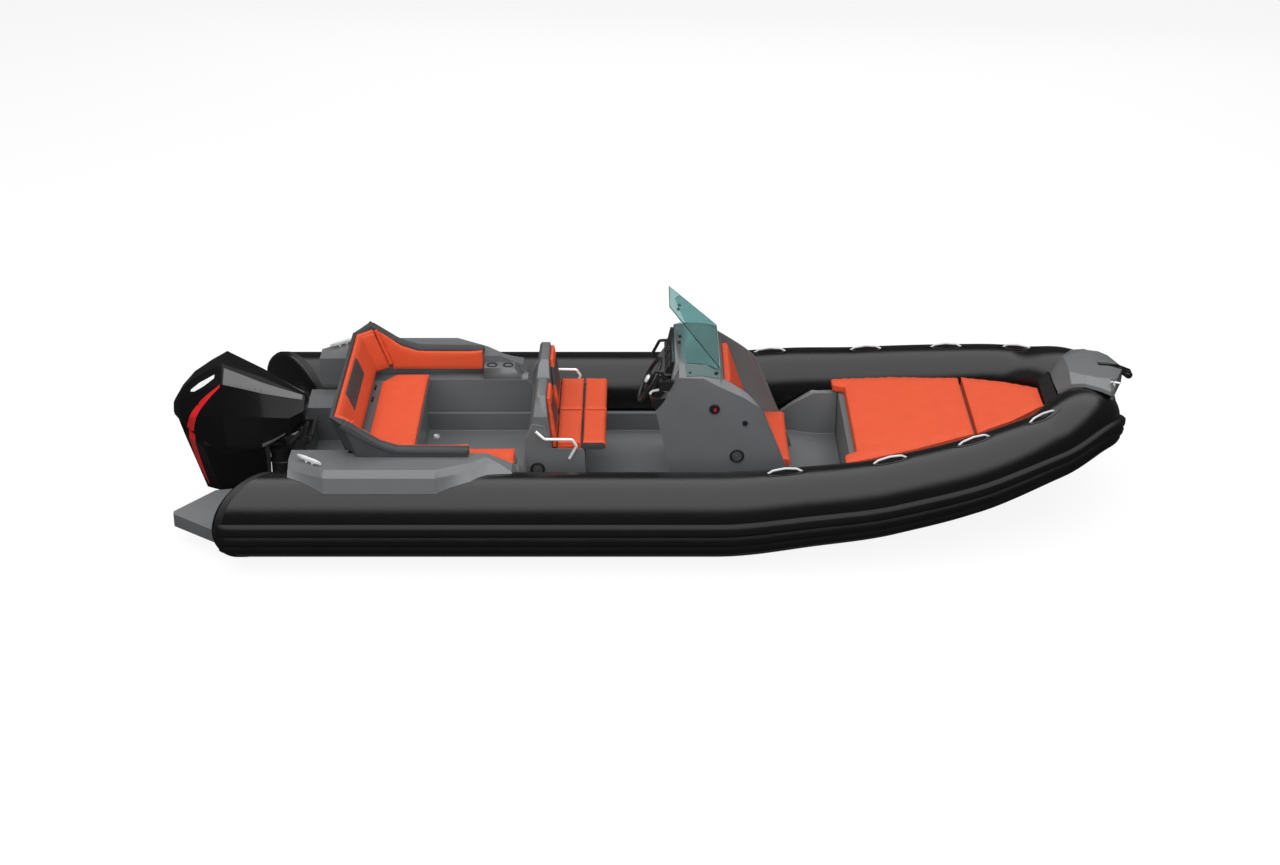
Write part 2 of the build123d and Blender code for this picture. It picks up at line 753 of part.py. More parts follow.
def bow_cap():
    """Moulded cap that drapes over the joint of the two tubes, slotted for the anchor roller."""
    sections = []
    for x, top_z, top_y, crease_y, crease_z, lip_y, lip_z, edge_y, edge_z in CAP_STATIONS:
        port = [(edge_y / 2, CAP_LOW_Z), (edge_y, edge_z - CAP_BRIM), (edge_y, edge_z), (lip_y, lip_z),
                (crease_y, crease_z), (top_y, top_z)]
        starboard = [(-y, z) for y, z in reversed(port)]
        sections.append([(x, y, z) for y, z in port + starboard])
    slot = block(3145, 3400, -33, 33, SLOT_Z, 1000)
    return largest(skin_loft(sections) - slot - TUBE_CUT)


def roller_bracket():
    """Channel that carries the anchor roller beyond the bow."""
    low = SLOT_Z + GAP
    base = block(3150, 3275, -28, 28, low, low + 6)
    cheek = plate_xz([(3150, low), (3150, 925), (3285, 925), (3370, 891), (3350, 841), (3297, 880),
                      (3290, low)], 22, 28)
    cheek += cylinder_y(ROLLER_X, ROLLER_Z, 27, 22, 28)
    pin = cylinder_y(ROLLER_X, ROLLER_Z, 6, -30, 30)
    return base + both_sides(cheek) + pin


def anchor_roller():
    """Grooved roller on its pin."""
    roller = cylinder_y(ROLLER_X, ROLLER_Z, 20, -17, 17)
    groove = Pos(ROLLER_X, 0, ROLLER_Z) * (Rot(90, 0, 0) * Torus(24, 10))
    bore = cylinder_y(ROLLER_X, ROLLER_Z, 6.3, -18, 18)
    return roller - groove - bore


BOW_CLEAT_X = 3246
BOW_CLEAT_Y = -112


def bow_cleat():
    """Crossed bollard beside the roller."""
    post = cylinder_z(BOW_CLEAT_X, BOW_CLEAT_Y, 10, 850, 892)
    cross = Rot(0, 90, 0) * Cylinder(6, 110) + Rot(0, 90, 100) * Cylinder(6, 90)
    return post + Pos(BOW_CLEAT_X, BOW_CLEAT_Y, 893) * (Rot(0, 0, 45) * cross)


save("bow_locker", bow_locker())
save("bow_cushion_aft", bow_cushion_aft())
save("bow_cushion_front", bow_cushion_front())
save("bow_step", bow_step())
BOW_CAP = bow_cap()
save("bow_cap", BOW_CAP)
save("roller_bracket", roller_bracket())
save("anchor_roller", anchor_roller())
save("bow_cleat", largest(bow_cleat() - (Pos(0, 0, SOFT_GAP) * BOW_CAP)))


# ---------------------------------------------------------------- outboard engine
BRACKET_Y = 165
SWIVEL_LOW_Z = -30
SWIVEL_TOP_Z = 325
PIVOT_R = 24


def engine_clamp():
    """Two stern brackets bolted to the transom."""
    plate = plate_xz([(TRANSOM_X - GAP, -60), (TRANSOM_X - GAP, TRANSOM_TOP_Z + GAP),
                      (TRANSOM_X + 76, TRANSOM_TOP_Z + GAP), (TRANSOM_X + 76, TILT_Z + 30),
                      (TRANSOM_X + 10, TILT_Z + 30), (TRANSOM_X - 45, 300), (TRANSOM_X - 60, -60)],
                     BRACKET_Y, BRACKET_Y + 30)
    tie = block(TRANSOM_X - 30, TRANSOM_X - GAP, -BRACKET_Y, BRACKET_Y, -55, -15)
    return both_sides(plate) + tie


def swivel_bracket():
    """Bracket on the tilt tube, bored for the steering pivot."""
    post = plate_xz([(STEER_X - 52, SWIVEL_LOW_Z), (STEER_X - 52, SWIVEL_TOP_Z),
                     (STEER_X + 60, SWIVEL_TOP_Z), (STEER_X + 60, SWIVEL_LOW_Z)], -50, 50)
    arm = plate_xz([(STEER_X + 20, 230), (STEER_X + 40, SWIVEL_TOP_Z), (TILT_X - 20, TILT_Z + 22),
                    (TILT_X + 15, TILT_Z), (TILT_X - 20, TILT_Z - 26)], -50, 50)
    tilt_tube = cylinder_y(TILT_X, TILT_Z, 24, 5 - BRACKET_Y, BRACKET_Y - 5)
    bore = cylinder_z(STEER_X, 0, PIVOT_R + 0.4, SWIVEL_LOW_Z - 1, SWIVEL_TOP_Z + 1)
    return post + arm + tilt_tube - bore


def steering_cylinder():
    """Steering ram ahead of the tilt tube."""
    ram = cylinder_y(TILT_X + 62, TILT_Z + 40, 20, -130, 130)
    rods = cylinder_y(TILT_X + 62, TILT_Z + 40, 9, -190, 190)
    lug = block(TILT_X + 27, TILT_X + 62, -150, -138, TILT_Z - 8, TILT_Z + 48)
    return ram + rods + both_sides(lug)


# x, bottom y, bottom z, middle y, middle z, shoulder y, shoulder z, top y, top z
COWL_STATIONS = [
    (-3222, 40, 575, 60, 605, 50, 640, 35, 665),
    (-3165, 98, 540, 122, 612, 95, 712, 50, 758),
    (-3080, 145, 478, 180, 625, 140, 768, 75, 850),
    (-2960, 185, 370, 218, 640, 172, 828, 95, 928),
    (-2850, 200, 337, 232, 650, 192, 870, 112, 987),
    (-2600, 200, 396, 232, 640, 142, 806, 68, 872),
    (-2400, 180, 512, 205, 622, 86, 724, 32, 752),
    (-2312, 140, 585, 160, 655, 55, 693, 14, 703),
]


def cowl_outer():
    """Faceted upper cowl as a solid."""
    sections = []
    for x, low_y, low_z, mid_y, mid_z, shoulder_y, shoulder_z, top_y, top_z in COWL_STATIONS:
        port = [(low_y, low_z), (mid_y, mid_z), (shoulder_y, shoulder_z), (top_y, top_z)]
        starboard = [(-y, z) for y, z in reversed(port)]
        sections.append([(x, y, z) for y, z in port + starboard])
    return skin_loft(sections)


POWERHEAD = (-2960, -2560, -120, 120, 425, 700)      # low and high x, y, z


def engine_cowl():
    """Upper cowl, hollow around the powerhead."""
    x0, x1, y0, y1, z0, z1 = POWERHEAD
    room = block(x0 - GAP, x1 + GAP, y0 - GAP, y1 + GAP, 0, z1 + GAP)
    return cowl_outer() - room


def powerhead():
    """The engine itself, one plain block."""
    return block(*POWERHEAD)


# z, aft x, front x, half width
APRON_STATIONS = [
    (575, -3216, -2330, 60),
    (500, -3196, -2330, 150),
    (400, -3168, -2540, 188),
    (200, -3105, -2596, 120),
    (0, -3043, -2600, 75),
    (-60, -3010, -2605, 60),
]


def lower_cowl():
    """Lower cowl and apron, from the seam down to the leg."""
    sections = []
    for z, aft_x, front_x, half_y in APRON_STATIONS:
        quarter = (front_x - aft_x) / 4
        half = [(aft_x, 14), (aft_x + quarter, half_y), (front_x - quarter, half_y),
                (front_x, half_y * 0.75)]
        sections.append([(x, y, z) for x, y in mirrored(half)])
    x0, x1, y0, y1, z0, z1 = POWERHEAD
    room = block(x0 - GAP, x1 + GAP, y0 - GAP, y1 + GAP, z0 - GAP, z1)
    shape = skin_loft(sections) - (Pos(0, 0, -GAP) * cowl_outer()) - room
    lower_front = plate_xz([(-2600, 382), (-2330, 492), (-2330, -100), (-2600, -100)], -300, 300)
    shape = shape - lower_front
    return largest(shape)


def steering_yoke():
    """Mounts that join the engine to its steering pivot."""
    pin = cylinder_z(STEER_X, 0, PIVOT_R, SWIVEL_LOW_Z - 30, SWIVEL_TOP_Z + 30)
    upper = block(-2640, STEER_X, -42, 42, SWIVEL_TOP_Z + MOVE_GAP, SWIVEL_TOP_Z + 34)
    lower = block(-2640, STEER_X, -42, 42, SWIVEL_LOW_Z - 34, SWIVEL_LOW_Z - MOVE_GAP)
    return pin + upper + lower - lower_cowl()


# z, aft x, front x, half width of the leg
LEG_STATIONS = [
    (-62, -2985, -2640, 55),
    (-230, -2930, -2660, 38),
    (-372, -2890, -2680, 24),
]


def gearcase():
    """Leg, plate above the propeller, torpedo and skeg."""
    sections = []
    for z, aft_x, front_x, half_y in LEG_STATIONS:
        middle = (aft_x + front_x) / 2
        sections.append([(x, y, z) for x, y in mirrored([(aft_x, 6), (middle, half_y), (front_x, 10)])])
    leg = skin_loft(sections)
    torpedo = cylinder_x(0, PROP_Z, 56, -2925, -2700)
    nose = Pos(-2660, 0, PROP_Z) * (Rot(0, 90, 0) * Cone(56, 14, 80))
    plate = plate_xy(mirrored([(-3120, 60), (-2960, 115), (-2760, 100), (-2660, 30)]), -222, -210)
    skeg = plate_xz([(-2900, PROP_Z - 30), (-2870, -618), (-2745, -618), (-2700, PROP_Z - 30)], -7, 7)
    return leg + torpedo + nose + plate + skeg


def propeller():
    """Hub with three pitched blades."""
    hub = cylinder_x(0, PROP_Z, 44, -3062, -2932)
    blade = Pos(0, 0, PROP_R / 2 + 14) * Box(14, 120, PROP_R - 28)
    edges = blade.edges().filter_by(Axis.X)
    blade = fillet(edges, 50)
    screw = hub
    for turn in range(3):
        pitched = Rot(0, 0, 38) * blade
        screw += Pos(PROP_X, 0, PROP_Z) * (Rot(120 * turn, 0, 0) * pitched)
    return screw


save("engine_clamp", engine_clamp())
save("swivel_bracket", swivel_bracket())
save("steering_cylinder", steering_cylinder())
save("engine_cowl", engine_cowl())
save("engine_powerhead", powerhead())
save("engine_lower_cowl", lower_cowl())
save("steering_yoke", steering_yoke())
save("gearcase", gearcase())
save("propeller", propeller())
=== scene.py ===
# %% [markdown]
# # A rigid inflatable boat, dressed
#
# The packed CAD model gives every piece at its real size. This script gives those pieces their
# looks: rubber, gelcoat, stitched vinyl, polished steel and tinted acrylic. Lengths are metres,
# +X points to the bow, +Y to port and +Z up, and the water is the plane z = 0.

# %% Load the fixed frame
import json
from math import cos, pi, radians, sin

import bmesh
import bpy
import numpy as np
from mathutils import Matrix, Vector
from mathutils.bvhtree import BVHTree
from mathutils.geometry import delaunay_2d_cdt


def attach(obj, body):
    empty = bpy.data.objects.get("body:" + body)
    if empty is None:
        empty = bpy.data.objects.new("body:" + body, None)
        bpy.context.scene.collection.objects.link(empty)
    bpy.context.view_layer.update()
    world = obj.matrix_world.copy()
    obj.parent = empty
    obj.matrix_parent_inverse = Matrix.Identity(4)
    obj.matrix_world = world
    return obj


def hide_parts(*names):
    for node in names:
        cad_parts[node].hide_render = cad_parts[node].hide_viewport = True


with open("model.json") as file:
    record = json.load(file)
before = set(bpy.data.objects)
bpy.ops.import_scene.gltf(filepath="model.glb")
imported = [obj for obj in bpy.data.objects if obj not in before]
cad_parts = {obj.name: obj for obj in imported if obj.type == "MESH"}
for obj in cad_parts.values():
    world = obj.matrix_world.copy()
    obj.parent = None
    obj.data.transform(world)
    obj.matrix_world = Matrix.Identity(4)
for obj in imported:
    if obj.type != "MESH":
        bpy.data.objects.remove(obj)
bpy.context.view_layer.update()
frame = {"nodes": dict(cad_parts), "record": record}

nodes = frame["nodes"]

# %% [markdown]
# ## The camera
#
# A long lens far away keeps the boat's length from bowing. The camera stands to starboard, a
# little above the rail of a quay, and looks down on the deck.

# %% Camera
LENS_MM = 65.25
SENSOR_MM = 36
SEE_UP_TO = 200              # metres
CAMERA_DOWN = radians(25.65)
CAMERA_AWAY = 16.17
AIM = Vector((0, 0, 0.415))

scene = bpy.context.scene
lens = bpy.data.cameras.new("camera")
lens.lens = LENS_MM
lens.sensor_width = SENSOR_MM
lens.sensor_fit = "HORIZONTAL"
lens.clip_end = SEE_UP_TO
camera = bpy.data.objects.new("camera", lens)
camera.location = AIM + CAMERA_AWAY * Vector((0, -cos(CAMERA_DOWN), sin(CAMERA_DOWN)))
camera.rotation_euler = (pi / 2 - CAMERA_DOWN, 0, 0)
scene.collection.objects.link(camera)
scene.camera = camera
scene.view_settings.view_transform = "Standard"
print("camera at", [round(x, 3) for x in camera.location])

# %% [markdown]
# ## Shader arithmetic
#
# A finish is a small network of nodes. Wiring it by hand hides the idea, so a socket is wrapped
# in a class whose operators add the Math nodes. `1 - wear` then reads as what it does.

# %% The socket wrapper
class Wire:
    """An output socket that can be used in arithmetic."""

    def __init__(self, finish, socket):
        self.finish = finish
        self.socket = socket

    def math(self, operation, first, second=0.0):
        return self.finish.node("Math", {"operation": operation}, {0: first, 1: second})

    def __add__(self, other):
        return self.math("ADD", self, other)

    def __sub__(self, other):
        return self.math("SUBTRACT", self, other)

    def __rsub__(self, other):
        return self.math("SUBTRACT", other, self)

    def __mul__(self, other):
        return self.math("MULTIPLY", self, other)

    def __gt__(self, other):
        return self.math("GREATER_THAN", self, other)

    def __lt__(self, other):
        return self.math("LESS_THAN", self, other)

    __radd__ = __add__
    __rmul__ = __mul__

    def wave(self):
        return self.math("SINE", self)

    def size(self):
        return self.math("ABSOLUTE", self)


print("a wire knows", [name for name in vars(Wire) if not name.startswith("__")])

# %% [markdown]
# A finish holds one material. Its first method puts a value or a wire into a socket, `node` adds
# any node, and the others are the few patterns that the finishes share.

# %% The finish class
class Finish:
    """One material and the nodes that give it its look."""

    def __init__(self, name, slot, color, roughness, **sockets):
        self.slot = slot
        self.material = bpy.data.materials.new(name)
        self.material.use_nodes = True
        self.tree = self.material.node_tree
        self.shader = self.tree.nodes["Principled BSDF"]
        self.set(**{"Base Color": (*color, 1), "Roughness": roughness}, **sockets)

    def put(self, socket, value):
        if isinstance(value, Wire):
            self.tree.links.new(value.socket, socket)
        else:
            socket.default_value = value

    def set(self, **sockets):
        for name, value in sockets.items():
            self.put(self.shader.inputs[name.replace("_", " ")], value)

    def node(self, kind, settings, values, out=0):
        """Adds a node: its settings first, then its sockets."""
        made = self.tree.nodes.new("ShaderNode" + kind)
        for name, value in settings.items():
            setattr(made, name, value)
        for name, value in values.items():
            self.put(made.inputs[name], value)
        return Wire(self, made.outputs[out])

    def place(self):
        """Position in the boat's own frame, which a moving piece takes along."""
        return self.node("TexCoord", {}, {}, "Object")

    def axes(self):
        vector = self.place()
        return [self.node("SeparateXYZ", {}, {0: vector}, i) for i in range(3)]

    def noise(self, scale, detail=2.0):
        values = {"Vector": self.place(), "Scale": scale, "Detail": detail, "Roughness": 0.5}
        return self.node("TexNoise", {}, values)

    def blend(self, factor, low, high):
        """Colour between two colours."""
        values = {0: factor}
        for index, color in ((6, low), (7, high)):
            values[index] = color if isinstance(color, Wire) else (*color, 1)
        return self.node("Mix", {"data_type": "RGBA"}, values, 2)

    def level(self, value, low, high):
        """Maps 0..1 onto low..high."""
        return value * (high - low) + low

    def bump(self, height, depth, strength=1.0):
        values = {"Height": height, "Distance": depth, "Strength": strength}
        self.set(Normal=self.node("Bump", {}, values))


print("a finish knows", [name for name in vars(Finish) if not name.startswith("__")])

# %% [markdown]
# ## Water, air and light
#
# The boat floats, so the pale floor lies at the waterline and hides what is under it. A broad
# soft box hangs overhead, as a bright overcast sky would. It draws the long highlight along the
# tubes, and its edge is where that highlight stops. Two low boxes, one on the camera's side and
# one behind the boat, only soften the shadows of the matt mouldings, so they are hidden from
# gloss, as the floor is. The world and the floor are white to the eye and straight through glass,
# and dim to everything else, which keeps the tubes' undersides dark.

# %% Floor, world and lamps
FLOOR_HALF = 60.0
FLOOR_GREY = 0.11
FLOOR_GLOW = 0.89
WORLD_DIM = 0.06
# name: (place, point aimed at, (width, depth) in metres, power in watts, seen in gloss)
SOFT_BOXES = {
    "overhead_box": ((0, -1.5, 8), (0, -1.5, 0), (22, 18), 2230, True),
    "quay_box": ((-1, -11, 5), (0, 0, 0.5), (12, 5), 850, False),
    "harbour_box": ((1, 11, 4), (0, 0, 0.5), (12, 5), 250, False),
}


def seen_rays(paint):
    """1 for the camera and straight through glass, and 0 for light that has scattered."""
    eye, glass, scattered = (paint.node("LightPath", {}, {}, out) for out in (
        "Is Camera Ray", "Is Transmission Ray", "Diffuse Depth"))
    return eye + glass * (scattered < 0.5)


def stage_floor():
    quarters = ((-1, -1), (1, -1), (1, 1), (-1, 1))
    corners = [(x * FLOOR_HALF, y * FLOOR_HALF, 0) for x, y in quarters]
    mesh = bpy.data.meshes.new("floor")
    mesh.from_pydata(corners, [], [(0, 1, 2, 3)])
    floor = bpy.data.objects.new("floor", mesh)
    scene.collection.objects.link(floor)
    paint = Finish("floor_white", "", (FLOOR_GREY,) * 3, 0.9, **{"Specular IOR Level": 0.0})
    glow = paint.blend(seen_rays(paint), (0, 0, 0), (FLOOR_GLOW,) * 3)
    paint.set(**{"Emission Color": glow, "Emission Strength": 1.0})
    mesh.materials.append(paint.material)
    floor.visible_glossy = False


def sky():
    world = bpy.data.worlds.new("sky")
    world.use_nodes = True
    scene.world = world
    paint = Finish.__new__(Finish)
    paint.tree = world.node_tree
    strength = seen_rays(paint) * (1 - WORLD_DIM) + WORLD_DIM
    ground = world.node_tree.nodes["Background"]
    ground.inputs["Color"].default_value = (1, 1, 1, 1)
    paint.put(ground.inputs["Strength"], strength)


def soft_box(name, place, aim, size, power, gloss):
    lamp = bpy.data.lights.new(name, "AREA")
    lamp.shape = "RECTANGLE"
    lamp.size, lamp.size_y = size
    lamp.energy = power
    box = bpy.data.objects.new(name, lamp)
    box.location = place
    box.rotation_euler = (Vector(aim) - Vector(place)).to_track_quat("-Z", "Y").to_euler()
    box.visible_glossy = gloss
    scene.collection.objects.link(box)


stage_floor()
sky()
for name, box in SOFT_BOXES.items():
    soft_box(name, *box)
print("floor at z = 0, lamps", [light.name for light in bpy.data.lights])

# %% [markdown]
# ## Finishes
#
# Tube fabric is woven polyester coated with synthetic rubber: almost black, with a soft sheen and
# a faint weave. Its base colour is very dark and its highlight does the work. The rub strake is
# plainer extruded rubber, and the carry handles are pale moulded rubber with ribs. A weave could
# be an image, but two crossed waves make it at any size. Every pattern reads the Object
# coordinate, so that it stays with a piece when the piece moves.

# %% Fabric and rubber
THREAD_PITCH = 2200.0        # radians per metre, along and up
THREAD_SLANT = 1500.0        # and across
WEBBING_PITCH = 900.0


def tube_fabric():
    dark, light = (0.0035, 0.0035, 0.0038), (0.0055, 0.0055, 0.0058)
    f = Finish("tube_fabric", "tube_fabric", (0.014, 0.014, 0.0145), 0.30,
               **{"Specular IOR Level": 0.5})
    f.set(**{"Base Color": f.blend(f.noise(5.0, 4.0), dark, light)})
    f.set(Roughness=f.level(f.noise(60.0), 0.16, 0.23))
    x, y, z = f.axes()
    weave = (x * THREAD_PITCH).wave() * (z * THREAD_PITCH + y * THREAD_SLANT).wave()
    f.bump(weave * 0.3 + f.noise(420.0), 0.0003, 0.5)
    return f


def strake_rubber():
    dark, light = (0.004, 0.004, 0.0045), (0.008, 0.008, 0.0085)
    f = Finish("strake_rubber", "strake_rubber", (0.008, 0.008, 0.008), 0.45,
               **{"Specular IOR Level": 0.3})
    f.set(**{"Base Color": f.blend(f.noise(9.0, 5.0), dark, light)})
    f.set(Roughness=f.level(f.noise(90.0), 0.36, 0.5))
    f.bump(f.noise(300.0, 4.0), 0.0006, 0.5)
    return f


def handle_rubber():
    dark, light = (0.50, 0.51, 0.51), (0.66, 0.67, 0.67)
    f = Finish("handle_rubber", "handle_rubber", (0.55, 0.56, 0.56), 0.5)
    f.set(**{"Base Color": f.blend(f.noise(30.0, 4.0), dark, light)})
    x, y, z = f.axes()
    f.bump((x * WEBBING_PITCH).wave() * 0.5 + f.noise(260.0), 0.0006, 0.6)
    f.set(Roughness=f.level(f.noise(80.0), 0.42, 0.6))
    return f


finishes = {f.slot: f for f in (tube_fabric(), strake_rubber(), handle_rubber())}
print("finishes", sorted(finishes))

# %% [markdown]
# The deck, coamings, seats and console are gelcoat, a pigmented resin with slight waviness. Where
# people stand it carries a raised diamond pattern, so that wet feet don't slip. Two crossed waves
# make the diamonds, and a mask lets them through only on level faces below the seats.

# %% Gelcoat with non-slip treads
TREAD_TOP_Z = 0.45           # nobody stands on what is above this
TREAD_PITCH = 210.0          # radians per metre
FLAT_UP = 0.97               # how far up a face must point to be trodden on


def gelcoat(name, dark, light, rough):
    f = Finish(name, "gelcoat", light, rough, **{"Specular IOR Level": 0.7})
    f.set(**{"Base Color": f.blend(f.noise(7.0, 4.0), dark, light)})
    x, y, z = f.axes()
    normal = f.node("NewGeometry", {}, {}, "Normal")
    facing_up = f.node("SeparateXYZ", {}, {0: normal}, 2) > FLAT_UP
    tread = facing_up * (z < TREAD_TOP_Z)
    diamonds = ((x * TREAD_PITCH).wave() * (y * TREAD_PITCH).wave()).size()
    f.set(Roughness=f.level(f.noise(50.0, 3.0), rough - 0.05, rough + 0.06) + tread * 0.15)
    f.bump(diamonds * tread + f.noise(24.0) * 0.8 + f.noise(500.0) * 0.12, 0.0009, 0.55)
    return f


finishes["gelcoat"] = gelcoat("gelcoat", (0.108, 0.113, 0.117), (0.124, 0.129, 0.133), 0.34)
dark_gelcoat = gelcoat("dark_gelcoat", (0.060, 0.062, 0.064), (0.072, 0.074, 0.076), 0.45)
print("treads repeat every", round(2 * pi / TREAD_PITCH, 3), "m")

# %% [markdown]
# ## Upholstery
#
# The cushions are marine vinyl: a fine leather grain, a soft roughness and stitched seams. Two
# tones meet on some of them, so a mask in the boat's own frame chooses the colour. Cells from a
# Voronoi texture make the grain, because vinyl is embossed with small rounded plates.

# %% Vinyl
ORANGE = ((0.54, 0.066, 0.024), (0.62, 0.083, 0.031))
DARK_VINYL = ((0.040, 0.041, 0.043), (0.055, 0.056, 0.058))


def vinyl(name, slot, tones, other=None, mask=None):
    f = Finish(name, slot, tones[1], 0.5, **{"Specular IOR Level": 0.2})
    color = f.blend(f.noise(11.0, 4.0), *tones)
    if mask:
        color = f.blend(mask(f), color, f.blend(f.noise(11.0, 4.0), *other))
    f.set(**{"Base Color": color})
    values = {"Vector": f.place(), "Scale": 420.0}
    plates = f.node("TexVoronoi", {"feature": "F1"}, values, "Distance")
    f.set(Roughness=f.level(f.noise(70.0, 3.0), 0.44, 0.58))
    f.bump(plates * 0.7 + f.noise(16.0, 3.0) * 1.4, 0.0009, 0.5)
    return f


# the dark panel of the lounge's back, from the centreline and upwards
INSET_HALF, INSET_LOW_Z, INSET_HIGH_Z = 0.30, 0.725, 0.848
INSET_AFT_OF_X = -1.9
# the dark panel of each helm back pad
PAD_IN_Y, PAD_OUT_Y, PAD_LOW_Z, PAD_HIGH_Z = 0.115, 0.445, 0.62, 0.835
PAD_AHEAD_OF_X = -0.625
BOLSTER_END_Y = 0.521


def between(value, low, high):
    return (value > low) * (value < high)


def back_inset(f):
    """Dark panel in the middle of the lounge's back."""
    x, y, z = f.axes()
    panel = between(y, -INSET_HALF, INSET_HALF) * between(z, INSET_LOW_Z, INSET_HIGH_Z)
    return panel * (x < INSET_AFT_OF_X)


def pad_inset(f):
    """Dark panel inside the rim of each helm back pad."""
    x, y, z = f.axes()
    side = y.size()
    panel = between(side, PAD_IN_Y, PAD_OUT_Y) * between(z, PAD_LOW_Z, PAD_HIGH_Z)
    return panel * (x > PAD_AHEAD_OF_X)


def roll_end(f):
    """Dark ends of the helm bolsters."""
    x, y, z = f.axes()
    return y.size() > BOLSTER_END_Y


finishes["upholstery_orange"] = vinyl("orange_vinyl", "upholstery_orange", ORANGE)
finishes["upholstery_grey"] = vinyl("grey_vinyl", "upholstery_grey", DARK_VINYL)
back_vinyl, pad_vinyl, roll_vinyl = (
    vinyl(name, "upholstery_orange", ORANGE, DARK_VINYL, mask)
    for name, mask in (("lounge_back_vinyl", back_inset), ("helm_pad_vinyl", pad_inset),
                       ("helm_bolster_vinyl", roll_end)))
print("vinyls", [m.name for m in bpy.data.materials if "vinyl" in m.name])

# %% [markdown]
# The small parts are moulded plastic, polished steel, engine paint and cast alloy. Each is one
# tone with a little variation, so one function makes them all from two tones, a roughness and a
# grain. The windscreen is tinted acrylic: light passes through its colour, and a very slight
# waviness keeps it from looking like air.

# %% Plastic, steel, paint and glass
def worn(name, slot, dark, light, rough, scale=120.0, depth=0.0004, **sockets):
    """A hard finish with a little variation in tone, gloss and surface."""
    f = Finish(name, slot, light, rough, **sockets)
    f.set(**{"Base Color": f.blend(f.noise(14.0, 4.0), dark, light)})
    f.set(Roughness=f.level(f.noise(45.0, 4.0), rough * 0.8, rough * 1.25))
    f.bump(f.noise(scale, 3.0), depth, 0.4)
    return f


def even(tone):
    return (tone,) * 3


finishes["black_moulding"] = worn("black_plastic", "black_moulding", even(0.008), even(0.014),
                                  0.38, 400.0)
finishes["stainless"] = worn("polished_steel", "stainless", (0.86, 0.87, 0.88), (0.95, 0.95, 0.96),
                             0.2, 30.0, 0.0001, Metallic=0.35)
finishes["engine_paint"] = worn("satin_black_paint", "engine_paint", even(0.010), even(0.016),
                                0.34, 160.0)
finishes["engine_block"] = worn("cast_alloy", "engine_block", even(0.25), even(0.36),
                                0.5, 90.0, 0.001, Metallic=0.6)
finishes["cowl_gloss"] = worn("gloss_black_cowl", "cowl_gloss", even(0.004), even(0.007),
                              0.3, 20.0, 0.0002, **{"Specular IOR Level": 0.12,
                                                    "Coat Weight": 0.16, "Coat Roughness": 0.1})
cowl_grey = worn("grey_cowl_panel", "cowl_gloss", even(0.088), even(0.104), 0.35, 60.0)
cowl_red = worn("red_cowl_stripe", "cowl_gloss", (0.55, 0.014, 0.018), (0.70, 0.022, 0.026),
                0.3, 60.0)
# painted highlight: a pale sheet that stands in for the light caught on the cowl's grip
painted_grip_highlight = worn("painted_highlight_white", "cowl_gloss", even(0.70), even(0.85), 0.3, 60.0)
lens_red = worn("red_lens", "black_moulding", (0.30, 0.01, 0.01), (0.40, 0.02, 0.02), 0.2, 60.0)
dark_glass = worn("smoked_acrylic", "tinted_screen", (0.045, 0.085, 0.085), (0.060, 0.105, 0.105),
                  0.12, 60.0)
fabric_band = worn("seam_tape", "strake_rubber", even(0.004), even(0.007), 0.55, 300.0)
# painted shade: darker steel for the steering cylinder, which sits in shade between dark castings
painted_shade_steel = worn("painted_shade_steel", "stainless", even(0.05), even(0.08), 0.4, 60.0, Metallic=0.7)
screen = Finish("tinted_acrylic", "tinted_screen", (0.38, 0.62, 0.61), 0.0,
                **{"Transmission Weight": 1.0, "IOR": 1.42})
green_low, green_high = (0.34, 0.59, 0.58), (0.40, 0.64, 0.63)
screen.set(**{"Base Color": screen.blend(screen.noise(4.0), green_low, green_high)})
screen.bump(screen.noise(6.0), 0.0003, 0.15)
finishes["tinted_screen"] = screen
print("finishes", len(bpy.data.materials))

# %% [markdown]
# ## Pieces that keep the form of the CAD model
#
# Bent, turned and flat parts, such as the rails, the propeller and the windscreen, already have
# their true form and only get their finish. The other nodes get their finish too, and a rounder
# or softer piece replaces them later. The steering cylinder's steel is darkened with painted
# shade, because it sits in the shade between dark castings.

# %% Dress every CAD node
# the steering cylinder takes the steel with painted shade
own_finish = {"steering_cylinder": painted_shade_steel}
for entry in frame["record"]["subparts"]:
    mesh = nodes[entry["node"]].data
    mesh.materials.clear()
    mesh.materials.append(own_finish.get(entry["node"], finishes[entry["material_slot"]]).material)
print("dressed", len(nodes), "nodes")

# %% [markdown]
# ## New pieces
#
# Each visible piece is a mesh with a finish and a body that carries it. One helper does these steps
# in a single call, and also hides the CAD node that the new piece replaces. Another swaps a piece's
# mesh for the one that its modifiers make, so that later steps can measure it.

# %% Helpers for new pieces
def add_piece(name, mesh, finish, body="root", hides=()):
    """Links a mesh as a piece that rides a body."""
    piece = bpy.data.objects.new(name, mesh)
    scene.collection.objects.link(piece)
    mesh.materials.clear()
    mesh.materials.append(finish.material)
    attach(piece, body)
    for node in hides:
        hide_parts(node)
    return piece


def settle(piece):
    """Swaps a piece's mesh for the one that its modifiers make."""
    view = bpy.context.evaluated_depsgraph_get()
    made = bpy.data.meshes.new_from_object(piece.evaluated_get(view), depsgraph=view)
    piece.modifiers.clear()
    piece.data = made
    return piece


def smooth(mesh, sharpest):
    mesh.polygons.foreach_set("use_smooth", [True] * len(mesh.polygons))
    mesh.set_sharp_from_angle(angle=radians(sharpest))


print("helpers for pieces ready")

# %% [markdown]
# ## Mouldings with eased edges
#
# Resin is laid up in a mould, and no mould has a razor edge. A copy of each CAD moulding gets its
# facets merged, its sharp edges picked out by their angle, and a Bevel modifier that rounds only
# those. The copy replaces its node on screen, and the sharp one stays for collision.

# %% A helper for eased copies
SAME_POINT = 3e-5            # corners closer than this are one
FLAT = radians(1.5)          # facets that meet flatter than this are one


